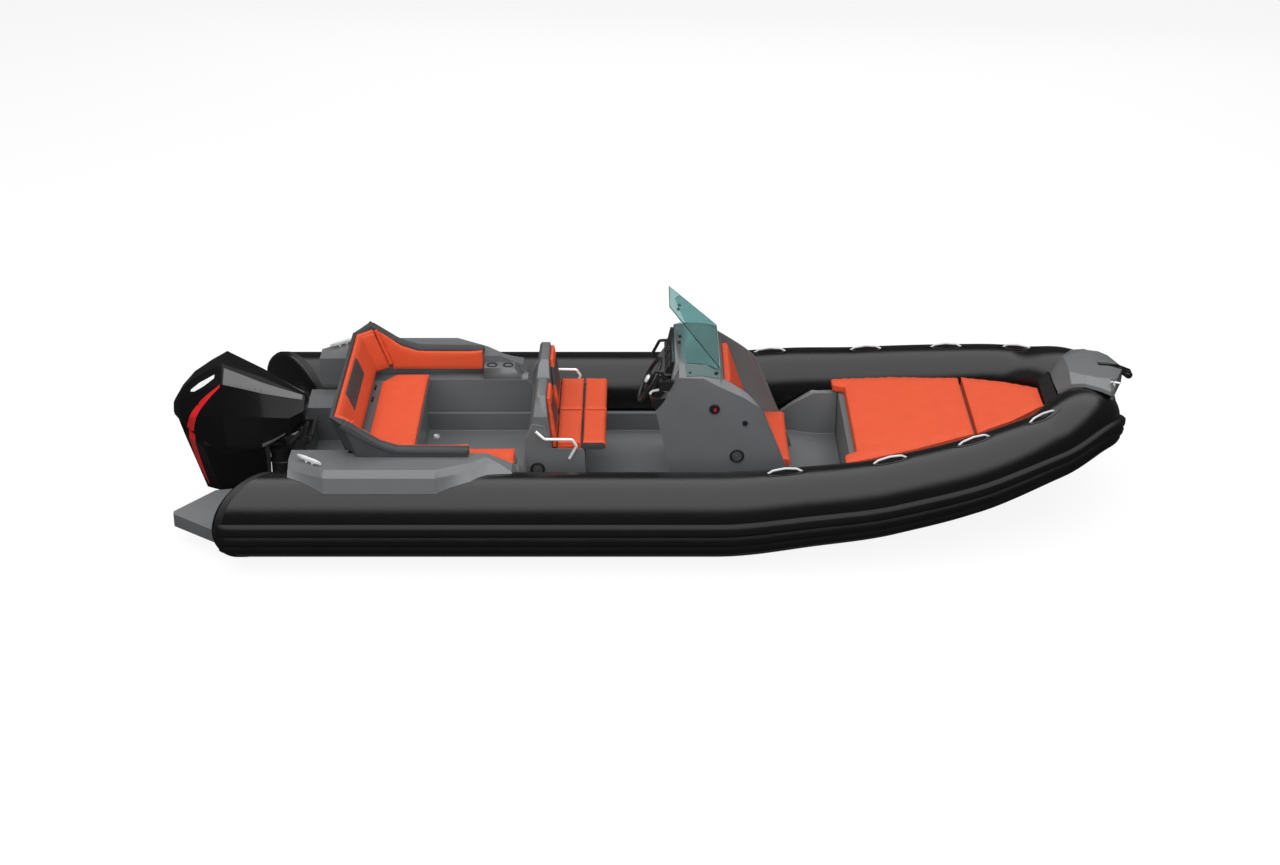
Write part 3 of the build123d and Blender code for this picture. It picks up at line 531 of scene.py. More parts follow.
def eased(node, width, body="root", corner=26.0, steps=3, shortest=0.0, cuts=(), soft=50):
    """Copy of a moulding, trimmed by planes, whose edges are rounded to a width in metres.

    An edge is rounded if it is sharper than corner degrees and longer than shortest.
    """
    shape = bmesh.new()
    shape.from_mesh(nodes[node].data)
    bmesh.ops.remove_doubles(shape, verts=shape.verts, dist=SAME_POINT)
    bmesh.ops.dissolve_limit(shape, angle_limit=FLAT, verts=shape.verts, edges=shape.edges)
    for place, out in cuts:
        geometry = shape.verts[:] + shape.edges[:] + shape.faces[:]
        cut = bmesh.ops.bisect_plane(shape, geom=geometry, dist=1e-5, plane_co=place, plane_no=out,
                                     clear_outer=True)
        rim = [e for e in cut["geom_cut"] if isinstance(e, bmesh.types.BMEdge)]
        bmesh.ops.contextual_create(shape, geom=rim)
    rounded = shape.edges.layers.float.new("bevel_weight_edge")
    for edge in shape.edges:
        if len(edge.link_faces) == 2 and edge.calc_face_angle() > radians(corner):
            edge[rounded] = 1.0 if edge.calc_length() > max(2.2 * width, shortest) else 0.0
    mesh = bpy.data.meshes.new(node + "_moulding")
    shape.to_mesh(mesh)
    shape.free()
    slot = next(e["material_slot"] for e in frame["record"]["subparts"] if e["node"] == node)
    piece = add_piece(node + "_moulding", mesh, finishes[slot], body, [node])
    smooth(mesh, soft)
    bevel = piece.modifiers.new("eased_edges", "BEVEL")
    bevel.limit_method = "WEIGHT"
    bevel.width = width
    bevel.segments = steps
    bevel.harden_normals = True
    bevel.use_clamp_overlap = True
    return settle(piece)


print("corners closer than", SAME_POINT, "m are merged")

# %% [markdown]
# The widths follow the real mouldings: broad on the seats and the console, fine on the dash and
# the roller's bracket. Each coaming's tapering tip is trimmed by a plane, because a bevel would
# tear the slivers that it ends in. The cowl has shallow creases, so its edges count as sharp from
# a few degrees.

# %% Ease the mouldings
COAMING_CUT = ((-1.022, 0, 0.652), (0.40, 0, 0.917))   # a point of the plane, and its outside
EASED_ROOT = {
    "cockpit_liner": 0.014, "aft_deck": 0.014, "swim_platforms": 0.016, "transom": 0.010,
    "bench_base": 0.014, "backrest_shell": 0.018,
    "side_seat_base": 0.014, "helm_seat_base": 0.012, "helm_seat_backs": 0.016, "console": 0.016,
    "console_seat_base": 0.012, "bow_locker": 0.012, "bow_step": 0.006,
    "dash_panel": 0.006, "throttle": 0.008, "roller_bracket": 0.0015,
}
for node, width in EASED_ROOT.items():
    eased(node, width)
for hand in ("port", "starboard"):
    eased("coaming_" + hand, 0.016, shortest=0.11, soft=14, cuts=[COAMING_CUT])
eased("bench_lid", 0.004, body="bench_seat")
eased("console_seat_lid", 0.004, body="console_seat")
eased("engine_cowl", 0.022, body="engine", corner=7.0, steps=4)
eased("engine_lower_cowl", 0.014, body="engine", corner=12.0)
eased("gearcase", 0.006, body="engine")

# %% [markdown]
# ## Cushions
#
# A cushion is foam in a stitched vinyl cover. The foam pushes out and the seams hold it in, so
# its faces are crowned and its sides pull in between the corners. Cloth does that by itself: a
# slightly smaller copy is cut into even squares by a Voxel Remesh, air pressure swells it, and
# each point may move only a little. The underside rests on something, so it stays flat. Seams
# come after, because a remesh would erase them.

# %% Cushion tables
CUSHION_FRAMES = 20
AIR_PRESSURE = 4.0
CLOTH_QUALITY = 3
SHRINK_THIN = 0.001          # back and side pads lose this all round before they swell
SHRINK = 0.004               # and the others this
UNDERSIDE = -0.6             # faces that point down more than this stay flat
# node: (body, side of a square, how far it may swell, fill, finish)
CUSHIONS = {
    "bow_cushion_aft": ("root", 0.0105, 0.010, 0.8, None),
    "bow_cushion_front": ("root", 0.009, 0.009, 0.8, None),
    "bench_cushion": ("bench_seat", 0.009, 0.010, 0.75, None),
    "backrest_cushion": ("root", 0.009, 0.009, 0.75, back_vinyl),
    "side_bolster_port": ("root", 0.007, 0.006, 0.7, None),
    "side_bolster_starboard": ("root", 0.007, 0.006, 0.7, None),
    "side_seat_cushion": ("root", 0.008, 0.008, 0.75, None),
    "helm_back_pads": ("root", 0.007, 0.007, 0.8, pad_vinyl),
    "helm_rear_cushions": ("root", 0.007, 0.006, 0.75, None),
    "helm_bolster_port": ("bolster_port", 0.007, 0.005, 0.8, roll_vinyl),
    "helm_bolster_starboard": ("bolster_starboard", 0.007, 0.005, 0.8, roll_vinyl),
    "console_back_pad": ("root", 0.0085, 0.008, 0.75, None),
    "console_seat_cushion": ("console_seat", 0.008, 0.008, 0.75, None),
}
print("cushions", len(CUSHIONS))

# %% [markdown]
# A copy of the foam is shrunk a little, so that the swelling brings it back to size. The cloth
# simulation pushes every square outwards, and the cap then limits each point's way softly, so
# that no point passes its limit and the crown stays round.

# %% Cut, swell and cap
def cover(node, body, square, finish):
    """A slightly smaller copy of the foam, cut into even squares."""
    shape = bmesh.new()
    shape.from_mesh(nodes[node].data)
    bmesh.ops.remove_doubles(shape, verts=shape.verts, dist=3e-5)
    bmesh.ops.recalc_face_normals(shape, faces=shape.faces)
    shape.normal_update()
    for vert in shape.verts:
        vert.co -= vert.normal * (SHRINK_THIN if "back" in node or "side" in node else SHRINK)
    mesh = bpy.data.meshes.new(node + "_cover")
    shape.to_mesh(mesh)
    shape.free()
    piece = add_piece(node + "_padded", mesh, finish, body, [node])
    remesh = piece.modifiers.new("even_squares", "REMESH")
    remesh.mode = "VOXEL"
    remesh.voxel_size = square
    return settle(piece)


def each_point(mesh, what):
    """The place ("co") or the normal of every point, one row each."""
    values = np.empty(len(mesh.vertices) * 3)
    mesh.vertices.foreach_get(what, values)
    return values.reshape(-1, 3)


def blow(piece):
    air = piece.modifiers.new("air", "CLOTH")
    air.settings.quality = CLOTH_QUALITY
    air.settings.use_pressure = True
    air.settings.uniform_pressure_force = AIR_PRESSURE
    air.settings.effector_weights.gravity = 0.0
    air.collision_settings.use_collision = False
    air.point_cache.frame_start = 1
    air.point_cache.frame_end = CUSHION_FRAMES


def cap_swelling(piece, most):
    """Applies the swelling, softly limited, and keeps the underside flat."""
    view = bpy.context.evaluated_depsgraph_get()
    blown = piece.evaluated_get(view).to_mesh()
    rest = each_point(piece.data, "co")
    move = each_point(blown, "co") - rest
    piece.evaluated_get(view).to_mesh_clear()
    size = np.linalg.norm(move, axis=1, keepdims=True)
    move *= most / (size + 0.5 * most)
    move[each_point(piece.data, "normal")[:, 2] < UNDERSIDE] = 0.0
    piece.modifiers.clear()
    piece.data.vertices.foreach_set("co", (rest + move).ravel())
    piece.data.update()


cushions = {}
for node, (body, square, *_, finish) in CUSHIONS.items():
    cushions[node] = cover(node, body, square, finish or finishes["upholstery_orange"])
for piece in cushions.values():
    blow(piece)
for step in range(1, CUSHION_FRAMES + 1):
    scene.frame_set(step)
for node, piece in cushions.items():
    cap_swelling(piece, CUSHIONS[node][2])
scene.frame_set(1)
print("squares", sum(len(piece.data.polygons) for piece in cushions.values()))

# %% [markdown]
# ## Seams and piping
#
# A seam pulls the cover down into the foam, and piping stands proud along it. A cut in the mesh
# would need new faces, so the groove only moves the points near a line inwards: deepest on the
# line, and less and less to each side, as a stitched cover does.

# %% Grooves and piping
def dense(points, step, closed=False):
    """Points along a polyline, no further apart than a step."""
    points = [Vector(p) for p in points]
    if closed:
        points.append(points[0])
    line = []
    for start, end in zip(points, points[1:]):
        count = max(1, int((end - start).length / step))
        line += [start.lerp(end, i / count) for i in range(count)]
    return line if closed else line + [points[-1]]


def groove(piece, line, depth, width):
    """Sinks a sewn channel along a line."""
    rest, out = each_point(piece.data, "co"), each_point(piece.data, "normal")
    nearest = np.full(len(rest), 1.0)
    for point in dense(line, 0.006):
        nearest = np.minimum(nearest, np.linalg.norm(rest - np.array(point), axis=1))
    rest -= out * (depth * np.exp(-(nearest / width) ** 2))[:, None]
    piece.data.vertices.foreach_set("co", rest.ravel())
    piece.data.update()


print("ready to sew")

# %% [markdown]
# Piping is a thin cord under a strip of vinyl. It is laid on the cushion's skin point by point
# and made round by a curve with a bevel, which gives a clean edge that a coarse mesh can't. The
# same round bar serves for latches, hinges and rails.

# %% Round bars and piping
def skin(mesh):
    return BVHTree.FromPolygons([v.co for v in mesh.vertices], [p.vertices for p in mesh.polygons])


def round_bar(points, radius, closed=False, sides=6):
    """Round bar through points, as a mesh."""
    curve = bpy.data.curves.new("bar", "CURVE")
    curve.dimensions = "3D"
    curve.bevel_depth = radius
    curve.bevel_resolution = sides // 2 - 1
    curve.use_fill_caps = not closed
    line = curve.splines.new("POLY")
    line.points.add(len(points) - 1)
    for slot, point in zip(line.points, points):
        slot.co = (*point, 1)
    line.use_cyclic_u = closed
    holder = bpy.data.objects.new("bar", curve)
    mesh = bpy.data.meshes.new_from_object(holder)
    bpy.data.objects.remove(holder)
    bpy.data.curves.remove(curve)
    mesh.polygons.foreach_set("use_smooth", [True] * len(mesh.polygons))
    return mesh


def joined(meshes):
    """One mesh from several."""
    shape = bmesh.new()
    for mesh in meshes:
        shape.from_mesh(mesh)
    whole = bpy.data.meshes.new("joined")
    shape.to_mesh(whole)
    shape.free()
    for mesh in meshes:
        bpy.data.meshes.remove(mesh)
    return whole


def piping(name, piece, lines, finish, body, radius=0.003, closed=True, step=0.012):
    """Round cords laid on a cushion."""
    surface = skin(piece.data)
    meshes = []
    for line in lines:
        cord = []
        for point in dense(line, step, closed):
            place, out, *_ = surface.find_nearest(point)
            cord.append(place + out * radius * 0.2)
        meshes.append(round_bar(cord, radius, closed))
    return add_piece(name, joined(meshes), finish, body)


print("ready to pipe")

# %% [markdown]
# The bow cushions and the bench cushion have piping round their upper edge. Only the port half of
# each outline is written down, and the other half is its mirror image.

# %% Piping on the bow and bench cushions
def mirrored(half):
    """Closed (x, y) outline from its port half."""
    return half + [(x, -y) for x, y in reversed(half)]


BOW_X, BOW_Z = 1.375, 0.518  # aft edge of the bow cushions
BOW_RISE = 0.127             # metres up for each metre forward
BENCH_Z = 0.592


def deck_line(outline, below):
    """Outline on the sloping bow deck."""
    return [(x, y, BOW_Z + BOW_RISE * (x - BOW_X) - below) for x, y in outline]


BOW_AFT = mirrored([(1.460, 0.513), (1.379, 0.573), (1.380, 0.690), (1.800, 0.607), (2.263, 0.461)])
BOW_FRONT = mirrored([(2.279, 0.459), (2.540, 0.326), (2.772, 0.148)])
BENCH = mirrored([(-1.837, 0.468), (-1.745, 0.595), (-1.512, 0.599)])
orange = finishes["upholstery_orange"]
grey = finishes["upholstery_grey"]

for node, outline in (("bow_cushion_aft", BOW_AFT), ("bow_cushion_front", BOW_FRONT)):
    piping(node + "_piping", cushions[node], [deck_line(outline, 0.004)], orange, "root")
bench_line = [(x, y, BENCH_Z) for x, y in BENCH]
piping("bench_cushion_piping", cushions["bench_cushion"], [bench_line], orange, "bench_seat")
print("piping on the bow and bench cushions")

# %% [markdown]
# The lounge's back is one long pad, sewn at each corner, with a dark panel let in at the middle.
# All of its seams lie in the leaning face, so a helper leans each point.

# %% Seams of the lounge
SEAM_DEPTH = 0.004
SEAM_WIDTH = 0.012
BACK_TOP_Z = 0.868
BACK_LEAN = 0.383            # metres forward for each metre down
BACK_CORNERS = ((-2.000, 0.655), (-1.905, 0.745))
CORNER_SEAM_Z = (0.58, 0.72, 0.87)


def back_point(x, y, z):
    """A point of the lounge's back, which comes forward lower down."""
    return (x + (BACK_TOP_Z - z) * BACK_LEAN, y, z)


back = cushions["backrest_cushion"]
for x, y in BACK_CORNERS:
    for side in (-1, 1):
        seam = [back_point(x, y * side, z) for z in CORNER_SEAM_Z]
        groove(back, seam, SEAM_DEPTH, SEAM_WIDTH)
inset = [back_point(-2.0, y, z) for y, z in (
    (-INSET_HALF, INSET_LOW_Z), (INSET_HALF, INSET_LOW_Z),
    (INSET_HALF, INSET_HIGH_Z), (-INSET_HALF, INSET_HIGH_Z))]
groove(back, inset + inset[:1], SEAM_DEPTH, SEAM_WIDTH)
piping("backrest_inset_piping", back, [inset], grey, "root")
TOP_EDGE = [(-1.905, -0.745), (-2.000, -0.655), (-2.000, 0.655), (-1.905, 0.745)]
top_line = [back_point(x, y, BACK_TOP_Z) for x, y in TOP_EDGE]
piping("backrest_top_piping", back, [top_line], orange, "root", closed=False)
print("lounge back seams", 2 * len(BACK_CORNERS) + 1)

# %% [markdown]
# The helm's pads, bolsters and rear cushions come in pairs, so a loop sews one side and then the
# other. The forward seat has one cushion, and its back is sewn into three panels.

# %% Seams of the helm and the forward seat
HELM_TOP_Z = 0.593
SEAT_TOP_Z = 0.398
SIDE_SEAT_Z = 0.563
PAD_SEAM_WIDTH = 0.009
THIN_PIPE = 0.0025
PAD_RIM = [(-0.60, PAD_IN_Y, PAD_LOW_Z), (-0.60, PAD_OUT_Y, PAD_LOW_Z), (-0.62, PAD_OUT_Y, 0.75),
           (-0.625, 0.405, PAD_HIGH_Z), (-0.625, 0.235, PAD_HIGH_Z), (-0.62, PAD_IN_Y, 0.72)]
BOLSTER_ENDS = [(-0.385, HELM_TOP_Z), (-0.250, HELM_TOP_Z), (-0.228, 0.570), (-0.227, 0.540)]
BOLSTER_SIDES = (0.010, 0.522)
REAR = [(-0.552, 0.008), (-0.400, 0.008), (-0.400, 0.526), (-0.552, 0.526)]

for side, hand in ((-1, "starboard"), (1, "port")):
    rim = [(x, y * side, z) for x, y, z in PAD_RIM]
    groove(cushions["helm_back_pads"], rim + rim[:1], SEAM_DEPTH, PAD_SEAM_WIDTH)
    piping("helm_pad_piping_" + hand, cushions["helm_back_pads"], [rim], grey, "root", THIN_PIPE)
    roll = cushions["helm_bolster_" + hand]
    ends = [[(x, y * side, z) for x, z in BOLSTER_ENDS] for y in BOLSTER_SIDES]
    piping("helm_bolster_piping_" + hand, roll, ends, orange, "bolster_" + hand, THIN_PIPE, False)
    rear = [(x, y * side, HELM_TOP_Z) for x, y in REAR]
    piping("helm_rear_piping_" + hand, cushions["helm_rear_cushions"], [rear], orange, "root",
           THIN_PIPE)

SEAT = [(0.806, -0.388), (1.010, -0.388), (1.010, 0.388), (0.806, 0.388)]
SIDE_SEAT = [(-1.484, -0.792), (-0.842, -0.792), (-0.842, -0.556), (-1.484, -0.556)]
for node, outline, z, body in (("console_seat", SEAT, SEAT_TOP_Z, "console_seat"),
                               ("side_seat", SIDE_SEAT, SIDE_SEAT_Z, "root")):
    line = [(x, y, z) for x, y in outline]
    piping(node + "_piping", cushions[node + "_cushion"], [line], orange, body)
for y in (-0.2, 0.2):
    groove(cushions["console_back_pad"], [(0.60, y, 0.96), (0.80, y, 0.42)], SEAM_DEPTH, SEAM_WIDTH)
print("helm and forward seat sewn")

# %% [markdown]
# Cloth is modelled with squares of seven to ten millimetres. The smaller cushions are divided
# once more, so that their crowns and grooves shade smoothly.

# %% Finish the cushions
FINE_ENOUGH = 12000          # faces

for node, piece in cushions.items():
    if len(piece.data.polygons) < FINE_ENOUGH:
        finer = piece.modifiers.new("finer", "SUBSURF")
        finer.levels = finer.render_levels = 1
        settle(piece)
    piece.data.polygons.foreach_set("use_smooth", [True] * len(piece.data.polygons))
print("cushion faces", sum(len(piece.data.polygons) for piece in cushions.values()))

# %% [markdown]
# ## Fittings
#
# Small round fittings are turned: a profile of radius and height, spun about its axis. Panels,
# tapes and patches are thin sheets that take the shape of what they lie on: an outline is filled
# with small triangles, and each corner is dropped onto the surface below along one direction.

# %% Turning and laying
def turned(name, profile, place, axis, finish, body="root", steps=32):
    """Spins a profile of (radius, height) about an axis."""
    shape = bmesh.new()
    verts = [shape.verts.new((r, 0, h)) for r, h in profile]
    edges = [shape.edges.new(pair) for pair in zip(verts, verts[1:])]
    bmesh.ops.spin(shape, geom=verts + edges, angle=2 * pi, steps=steps, axis=(0, 0, 1),
                   cent=(0, 0, 0))
    bmesh.ops.remove_doubles(shape, verts=shape.verts, dist=1e-6)
    bmesh.ops.recalc_face_normals(shape, faces=shape.faces)
    mesh = bpy.data.meshes.new(name)
    shape.to_mesh(mesh)
    shape.free()
    turn = Vector(axis).to_track_quat("Z", "Y").to_matrix().to_4x4()
    mesh.transform(Matrix.Translation(place) @ turn)
    smooth(mesh, 40)
    return add_piece(name, mesh, finish, body)


ABOVE = 0.4                  # sheets are dropped from this far away
STUCK = 0.0004               # and end this far off the surface


def laid(name, target, outline, toward, thick, finish, body="root", step=0.015):
    """A thin sheet with a given outline, dropped onto a mesh along a direction."""
    toward = Vector(toward).normalized()
    across = toward.orthogonal().normalized()
    along = toward.cross(across)
    edge = [(p.dot(across), p.dot(along)) for p in dense(outline, step, True)]
    level = sum(Vector(p).dot(toward) for p in outline) / len(outline)
    lows, highs = np.min(edge, axis=0), np.max(edge, axis=0)
    inner = [(u, v) for u in np.arange(lows[0], highs[0], step)
             for v in np.arange(lows[1], highs[1], step)]
    count = len(edge)
    rim = [(i, (i + 1) % count) for i in range(count)]
    grid = [Vector(p) for p in edge + inner]
    points, _, faces, *_ = delaunay_2d_cdt(grid, rim, [], 1, 1e-5)
    surface = skin(target)
    verts = []
    for u, v in points:
        far = across * u + along * v + toward * (level - ABOVE)
        hit, *_ = surface.ray_cast(far, toward)
        if hit is None:
            hit, *_ = surface.find_nearest(far + toward * ABOVE)
        verts.append(hit - toward * STUCK)
    mesh = bpy.data.meshes.new(name)
    mesh.from_pydata(verts, [], [tuple(face) for face in faces])
    piece = add_piece(name, mesh, finish, body)
    body_of_sheet = piece.modifiers.new("thickness", "SOLIDIFY")
    body_of_sheet.thickness = thick
    body_of_sheet.offset = 1.0 if mesh.polygons[0].normal.dot(toward) < 0 else -1.0
    settle(piece)
    smooth(piece.data, 30)
    return piece


print("turning and laying ready")

# %% [markdown]
# ## The tubes
#
# Each tube is one long air chamber that runs straight beside the cockpit and then sweeps up and
# in to meet its twin at the bow. It could be a bevelled curve, but its radius changes and its
# stern is cut obliquely, so rings of points are set along a smooth path instead. The path passes
# through a few stations with a given heading at each. The rub strake is another outline swept
# along the same path.

# %% The tubes' path
TUBE_RING = 72
CUT_X = -2.600
CUT_SLOPE = 0.8
BEND_X = 0.500               # the tube runs straight aft of this
# centre x, y, z, radius, heading
STATIONS = [
    (0.500, 0.990, 0.290, 0.280, (1, 0, 0)),
    (1.150, 0.977, 0.347, 0.265, (1, -0.07, 0.08)),
    (1.640, 0.914, 0.389, 0.258, (1, -0.19, 0.15)),
    (2.200, 0.780, 0.475, 0.250, (1, -0.33, 0.19)),
    (2.690, 0.574, 0.578, 0.226, (1, -0.61, 0.13)),
    (2.995, 0.326, 0.659, 0.232, (1, -0.97, 0.03)),
    (3.072, 0.000, 0.588, 0.216, (0, -1, 0)),
]
CENTRES = [Vector(row[:3]) for row in STATIONS]
RADII = [row[3] for row in STATIONS]
HEADINGS = [Vector(row[4]).normalized() for row in STATIONS]
NOSE_DROP = radians(16)      # the strake dips at the nose


def hermite(p0, m0, p1, m1, t):
    """Cubic between two values with given slopes."""
    return (p0 * (2 * t**3 - 3 * t**2 + 1) + m0 * (t**3 - 2 * t**2 + t)
            + p1 * (3 * t**2 - 2 * t**3) + m1 * (t**3 - t**2))


def hermite_slope(p0, m0, p1, m1, t):
    return (p0 * (6 * t**2 - 6 * t) + m0 * (3 * t**2 - 4 * t + 1)
            + p1 * (6 * t - 6 * t**2) + m1 * (3 * t**2 - 2 * t))


def radius_slope(i):
    if i in (0, len(RADII) - 1):
        return 0.0
    return (RADII[i + 1] - RADII[i - 1]) / 2


def bow_stations(per_span=16):
    """(centre, heading, radius, strake drop) from the bend to the nose."""
    made = []
    spans = len(CENTRES) - 1
    for i in range(spans):
        reach = (CENTRES[i + 1] - CENTRES[i]).length
        ends = (CENTRES[i], HEADINGS[i] * reach, CENTRES[i + 1], HEADINGS[i + 1] * reach)
        for step in range(per_span + (i == spans - 1)):
            t = step / per_span
            radius = hermite(RADII[i], radius_slope(i), RADII[i + 1], radius_slope(i + 1), t)
            drop = NOSE_DROP * t * t * (3 - 2 * t) if i == spans - 1 else 0.0
            made.append((hermite(*ends, t), hermite_slope(*ends, t).normalized(), radius, drop))
    return made


BOW = bow_stations()
print("bow stations", len(BOW))

# %% [markdown]
# A ring is a circle of points round one place on the path, square to its heading. On the straight
# run the rings slant more and more towards the stern, until they match the oblique cut, so that a
# mesh through all rings has no step.

# %% Rings round the path
SLANT_FADE = 1.5             # the slant is gone this far forward of the stern cut


def around(centre, heading, reach, angle):
    """Point at an angle above the tube's outboard side."""
    up = (Vector((0, 0, 1)) - heading * heading.z).normalized()
    out = up.cross(heading)
    return centre + (out * cos(angle) + up * sin(angle)) * reach


def straight_point(x, reach, angle, slant):
    """Point on the straight run, with its ring slanted as the stern cut is."""
    out = reach * cos(angle)
    start = CENTRES[0]
    return Vector((x - CUT_SLOPE * slant * out, start.y + out, start.z + reach * sin(angle)))


def slant_at(x):
    """1 at the stern cut, easing to 0 further forward."""
    t = min(1.0, max(0.0, (x - CUT_X) / SLANT_FADE))
    return 1 - t * t * (3 - 2 * t)


def skinned(rings, closed_ends=(False, False)):
    """Mesh through rings of equally many points."""
    count = len(rings[0])
    verts = [point for ring in rings for point in ring]
    faces = [(row * count + i, row * count + (i + 1) % count,
              (row + 1) * count + (i + 1) % count, (row + 1) * count + i)
             for row in range(len(rings) - 1) for i in range(count)]
    if closed_ends[0]:
        faces.append(tuple(reversed(range(count))))
    if closed_ends[1]:
        faces.append(tuple(range((len(rings) - 1) * count, len(rings) * count)))
    mesh = bpy.data.meshes.new("skin")
    mesh.from_pydata(verts, [], faces)
    return mesh


def port_and_starboard(name, mesh, finish, hides):
    """The port piece and its mirror image."""
    for side, hand in ((1, "port"), (-1, "starboard")):
        copy = mesh.copy()
        copy.transform(Matrix.Diagonal((1, side, 1, 1)))
        if side < 0:
            copy.flip_normals()
        add_piece(f"{name}_{hand}", copy, finish, hides=[f"{hides}_{hand}"] if hides else [])


print("ready to sweep")

# %% [markdown]
# The stern ends in a slightly bulged panel whose rim turns into the tube. Its rings come first,
# then the straight run, then the bow. The skin is copied and mirrored for the starboard side.

# %% Tube skins
END_FILLET = 0.070           # the end panel turns into the tube with this radius
END_SHARES = (0.02, 0.3, 0.6, 0.85, 0.97, 1.0)
DOME = 0.012                 # and bulges this much
FILLET_STEPS = 8
RING_PITCH = 0.06
ANGLES = [2 * pi * i / TUBE_RING for i in range(TUBE_RING)]
TUBE_R = RADII[0]

rings = []
for share in END_SHARES:
    reach = (TUBE_R - END_FILLET) * share
    rings.append([straight_point(CUT_X - DOME * (1 - share**2), reach, a, 1) for a in ANGLES])
for turn in range(1, FILLET_STEPS + 1):
    bend = pi / 2 * turn / FILLET_STEPS
    x = CUT_X + END_FILLET * (1 - cos(bend))
    reach = TUBE_R - END_FILLET * (1 - sin(bend))
    rings.append([straight_point(x, reach, a, 1) for a in ANGLES])
x = CUT_X + END_FILLET + RING_PITCH / 2
while x < BEND_X - 0.04:
    rings.append([straight_point(x, TUBE_R, a, slant_at(x)) for a in ANGLES])
    x += RING_PITCH
for centre, heading, radius, drop in BOW:
    rings.append([around(centre, heading, radius, a) for a in ANGLES])
tube_mesh = skinned(rings, (True, False))
smooth(tube_mesh, 50)
port_and_starboard("tube_skin", tube_mesh, finishes["tube_fabric"], "tube")
print("tube rings", len(rings))

# %% [markdown]
# ## Rub strake, tapes and patches
#
# The rub strake is an extruded rubber fender with three ribs, glued along the widest part of the
# tube. Its aft end is trimmed to a taper. A black tape covers the joint of the stern's end panel,
# and each lifting handle is moulded on an oval pad of the same fabric as the tube.

# %% Rub strake
# degrees above the tube's equator, height above the fabric
STRAKE = [(14, -0.008), (14, 0.014), (12.5, 0.022), (9.8, 0.036), (8.2, 0.038), (1.8, 0.038),
          (0.2, 0.036), (-1.6, 0.025), (-2.5, 0.024), (-5.2, 0.036), (-6.6, 0.038), (-12.4, 0.038),
          (-13.8, 0.036), (-15.6, 0.025), (-16.5, 0.024), (-19.2, 0.036), (-20.6, 0.038),
          (-26.4, 0.038), (-28.2, 0.036), (-31.4, 0.022), (-32, 0.014), (-32, -0.008)]
STRAKE_ROOT = -0.008         # glued this deep, so that no gap shows
STRAKE_START = -2.750
STRAKE_TAPER = 0.06
STRAKE_TIP = 0.35            # share of its height at the very end
STRAKE_ROWS = 44


def strake_height(height, share):
    """Lower near the trimmed end."""
    return STRAKE_ROOT + (height - STRAKE_ROOT) * share


rows = []
for x in [*(STRAKE_START + gap for gap in (0, 0.006, 0.02, STRAKE_TAPER)),
          *np.linspace(-2.6, BEND_X - 0.05, STRAKE_ROWS)]:
    along = min(1.0, (x - STRAKE_START) / STRAKE_TAPER)
    share = min(1.0, STRAKE_TIP + (1 - STRAKE_TIP) * sin(pi / 2 * along))
    rows.append([straight_point(x, TUBE_R + strake_height(h, share), radians(a), 0)
                 for a, h in STRAKE])
for centre, heading, radius, drop in BOW:
    rows.append([around(centre, heading, radius + h, radians(a) - drop) for a, h in STRAKE])
strake_mesh = skinned(rows, (True, True))
smooth(strake_mesh, 38)
port_and_starboard("strake", strake_mesh, finishes["strake_rubber"], "rub_strake")
print("strake rows", len(rows))

# %% [markdown]
# The tape is a narrow band of rings just above the fabric. The pads are ovals dropped onto the
# tube from above, at the places where the handles stand.

# %% Stern tapes and handle patches
# distance from the stern cut, height above the fabric
TAPE = ((0.052, 0.0005), (0.055, 0.0022), (0.098, 0.0022), (0.101, -0.001))
tape_mesh = skinned([[straight_point(CUT_X + offset, TUBE_R + lift, a, 1) for a in ANGLES]
                     for offset, lift in TAPE])
smooth(tape_mesh, 40)
port_and_starboard("stern_tape", tape_mesh, fabric_band, None)

PATCH_LONG, PATCH_WIDE, PATCH_THICK = 0.155, 0.040, 0.003
PATCH_CORNERS = 28
# centre x, centre y, crest z of each handle, and its heading
HANDLES = [
    (0.948, 0.986, 0.597, (1, -0.04, 0.08)),
    (1.640, 0.914, 0.647, (1, -0.19, 0.15)),
    (2.203, 0.779, 0.725, (1, -0.33, 0.19)),
    (2.690, 0.574, 0.803, (1, -0.61, 0.13)),
]


def handle_patch(name, tube, place, heading, side):
    """An oval pad under one handle."""
    along = Vector((heading[0], heading[1] * side, 0)).normalized()
    across = Vector((-along.y, along.x, 0))
    middle = Vector((place[0], place[1] * side, place[2]))
    oval = []
    for step in range(PATCH_CORNERS):
        angle = 2 * pi * step / PATCH_CORNERS
        oval.append(middle + along * PATCH_LONG * cos(angle) + across * PATCH_WIDE * sin(angle))
    target = bpy.data.objects["tube_skin_" + tube].data
    return laid(name, target, oval, (0, 0, -1), PATCH_THICK, finishes["tube_fabric"])


for side, hand in ((1, "port"), (-1, "starboard")):
    for index, (x, y, z, heading) in enumerate(HANDLES):
        handle_patch(f"handle_patch_{hand}_{index}", hand, (x, y, z), heading, side)
print("tapes and", 2 * len(HANDLES), "patches")

# %% [markdown]
# ## The cowl's panels
#
# The upper cowl is glossy black with a grey panel on each side of its crest. Below the panel a pale
# sheet is a painted highlight, where the grip catches the light. A red stripe runs down the aft
# corner and on over the apron, and a short grey trim sits at the seam. Painting them by a mask
# would blur their edges, so they are separate sheets, two millimetres thick, laid on the cowl from
# its side.

# %% Cowl panels
cowl_mesh = bpy.data.objects["engine_cowl_moulding"].data
apron_mesh = bpy.data.objects["engine_lower_cowl_moulding"].data
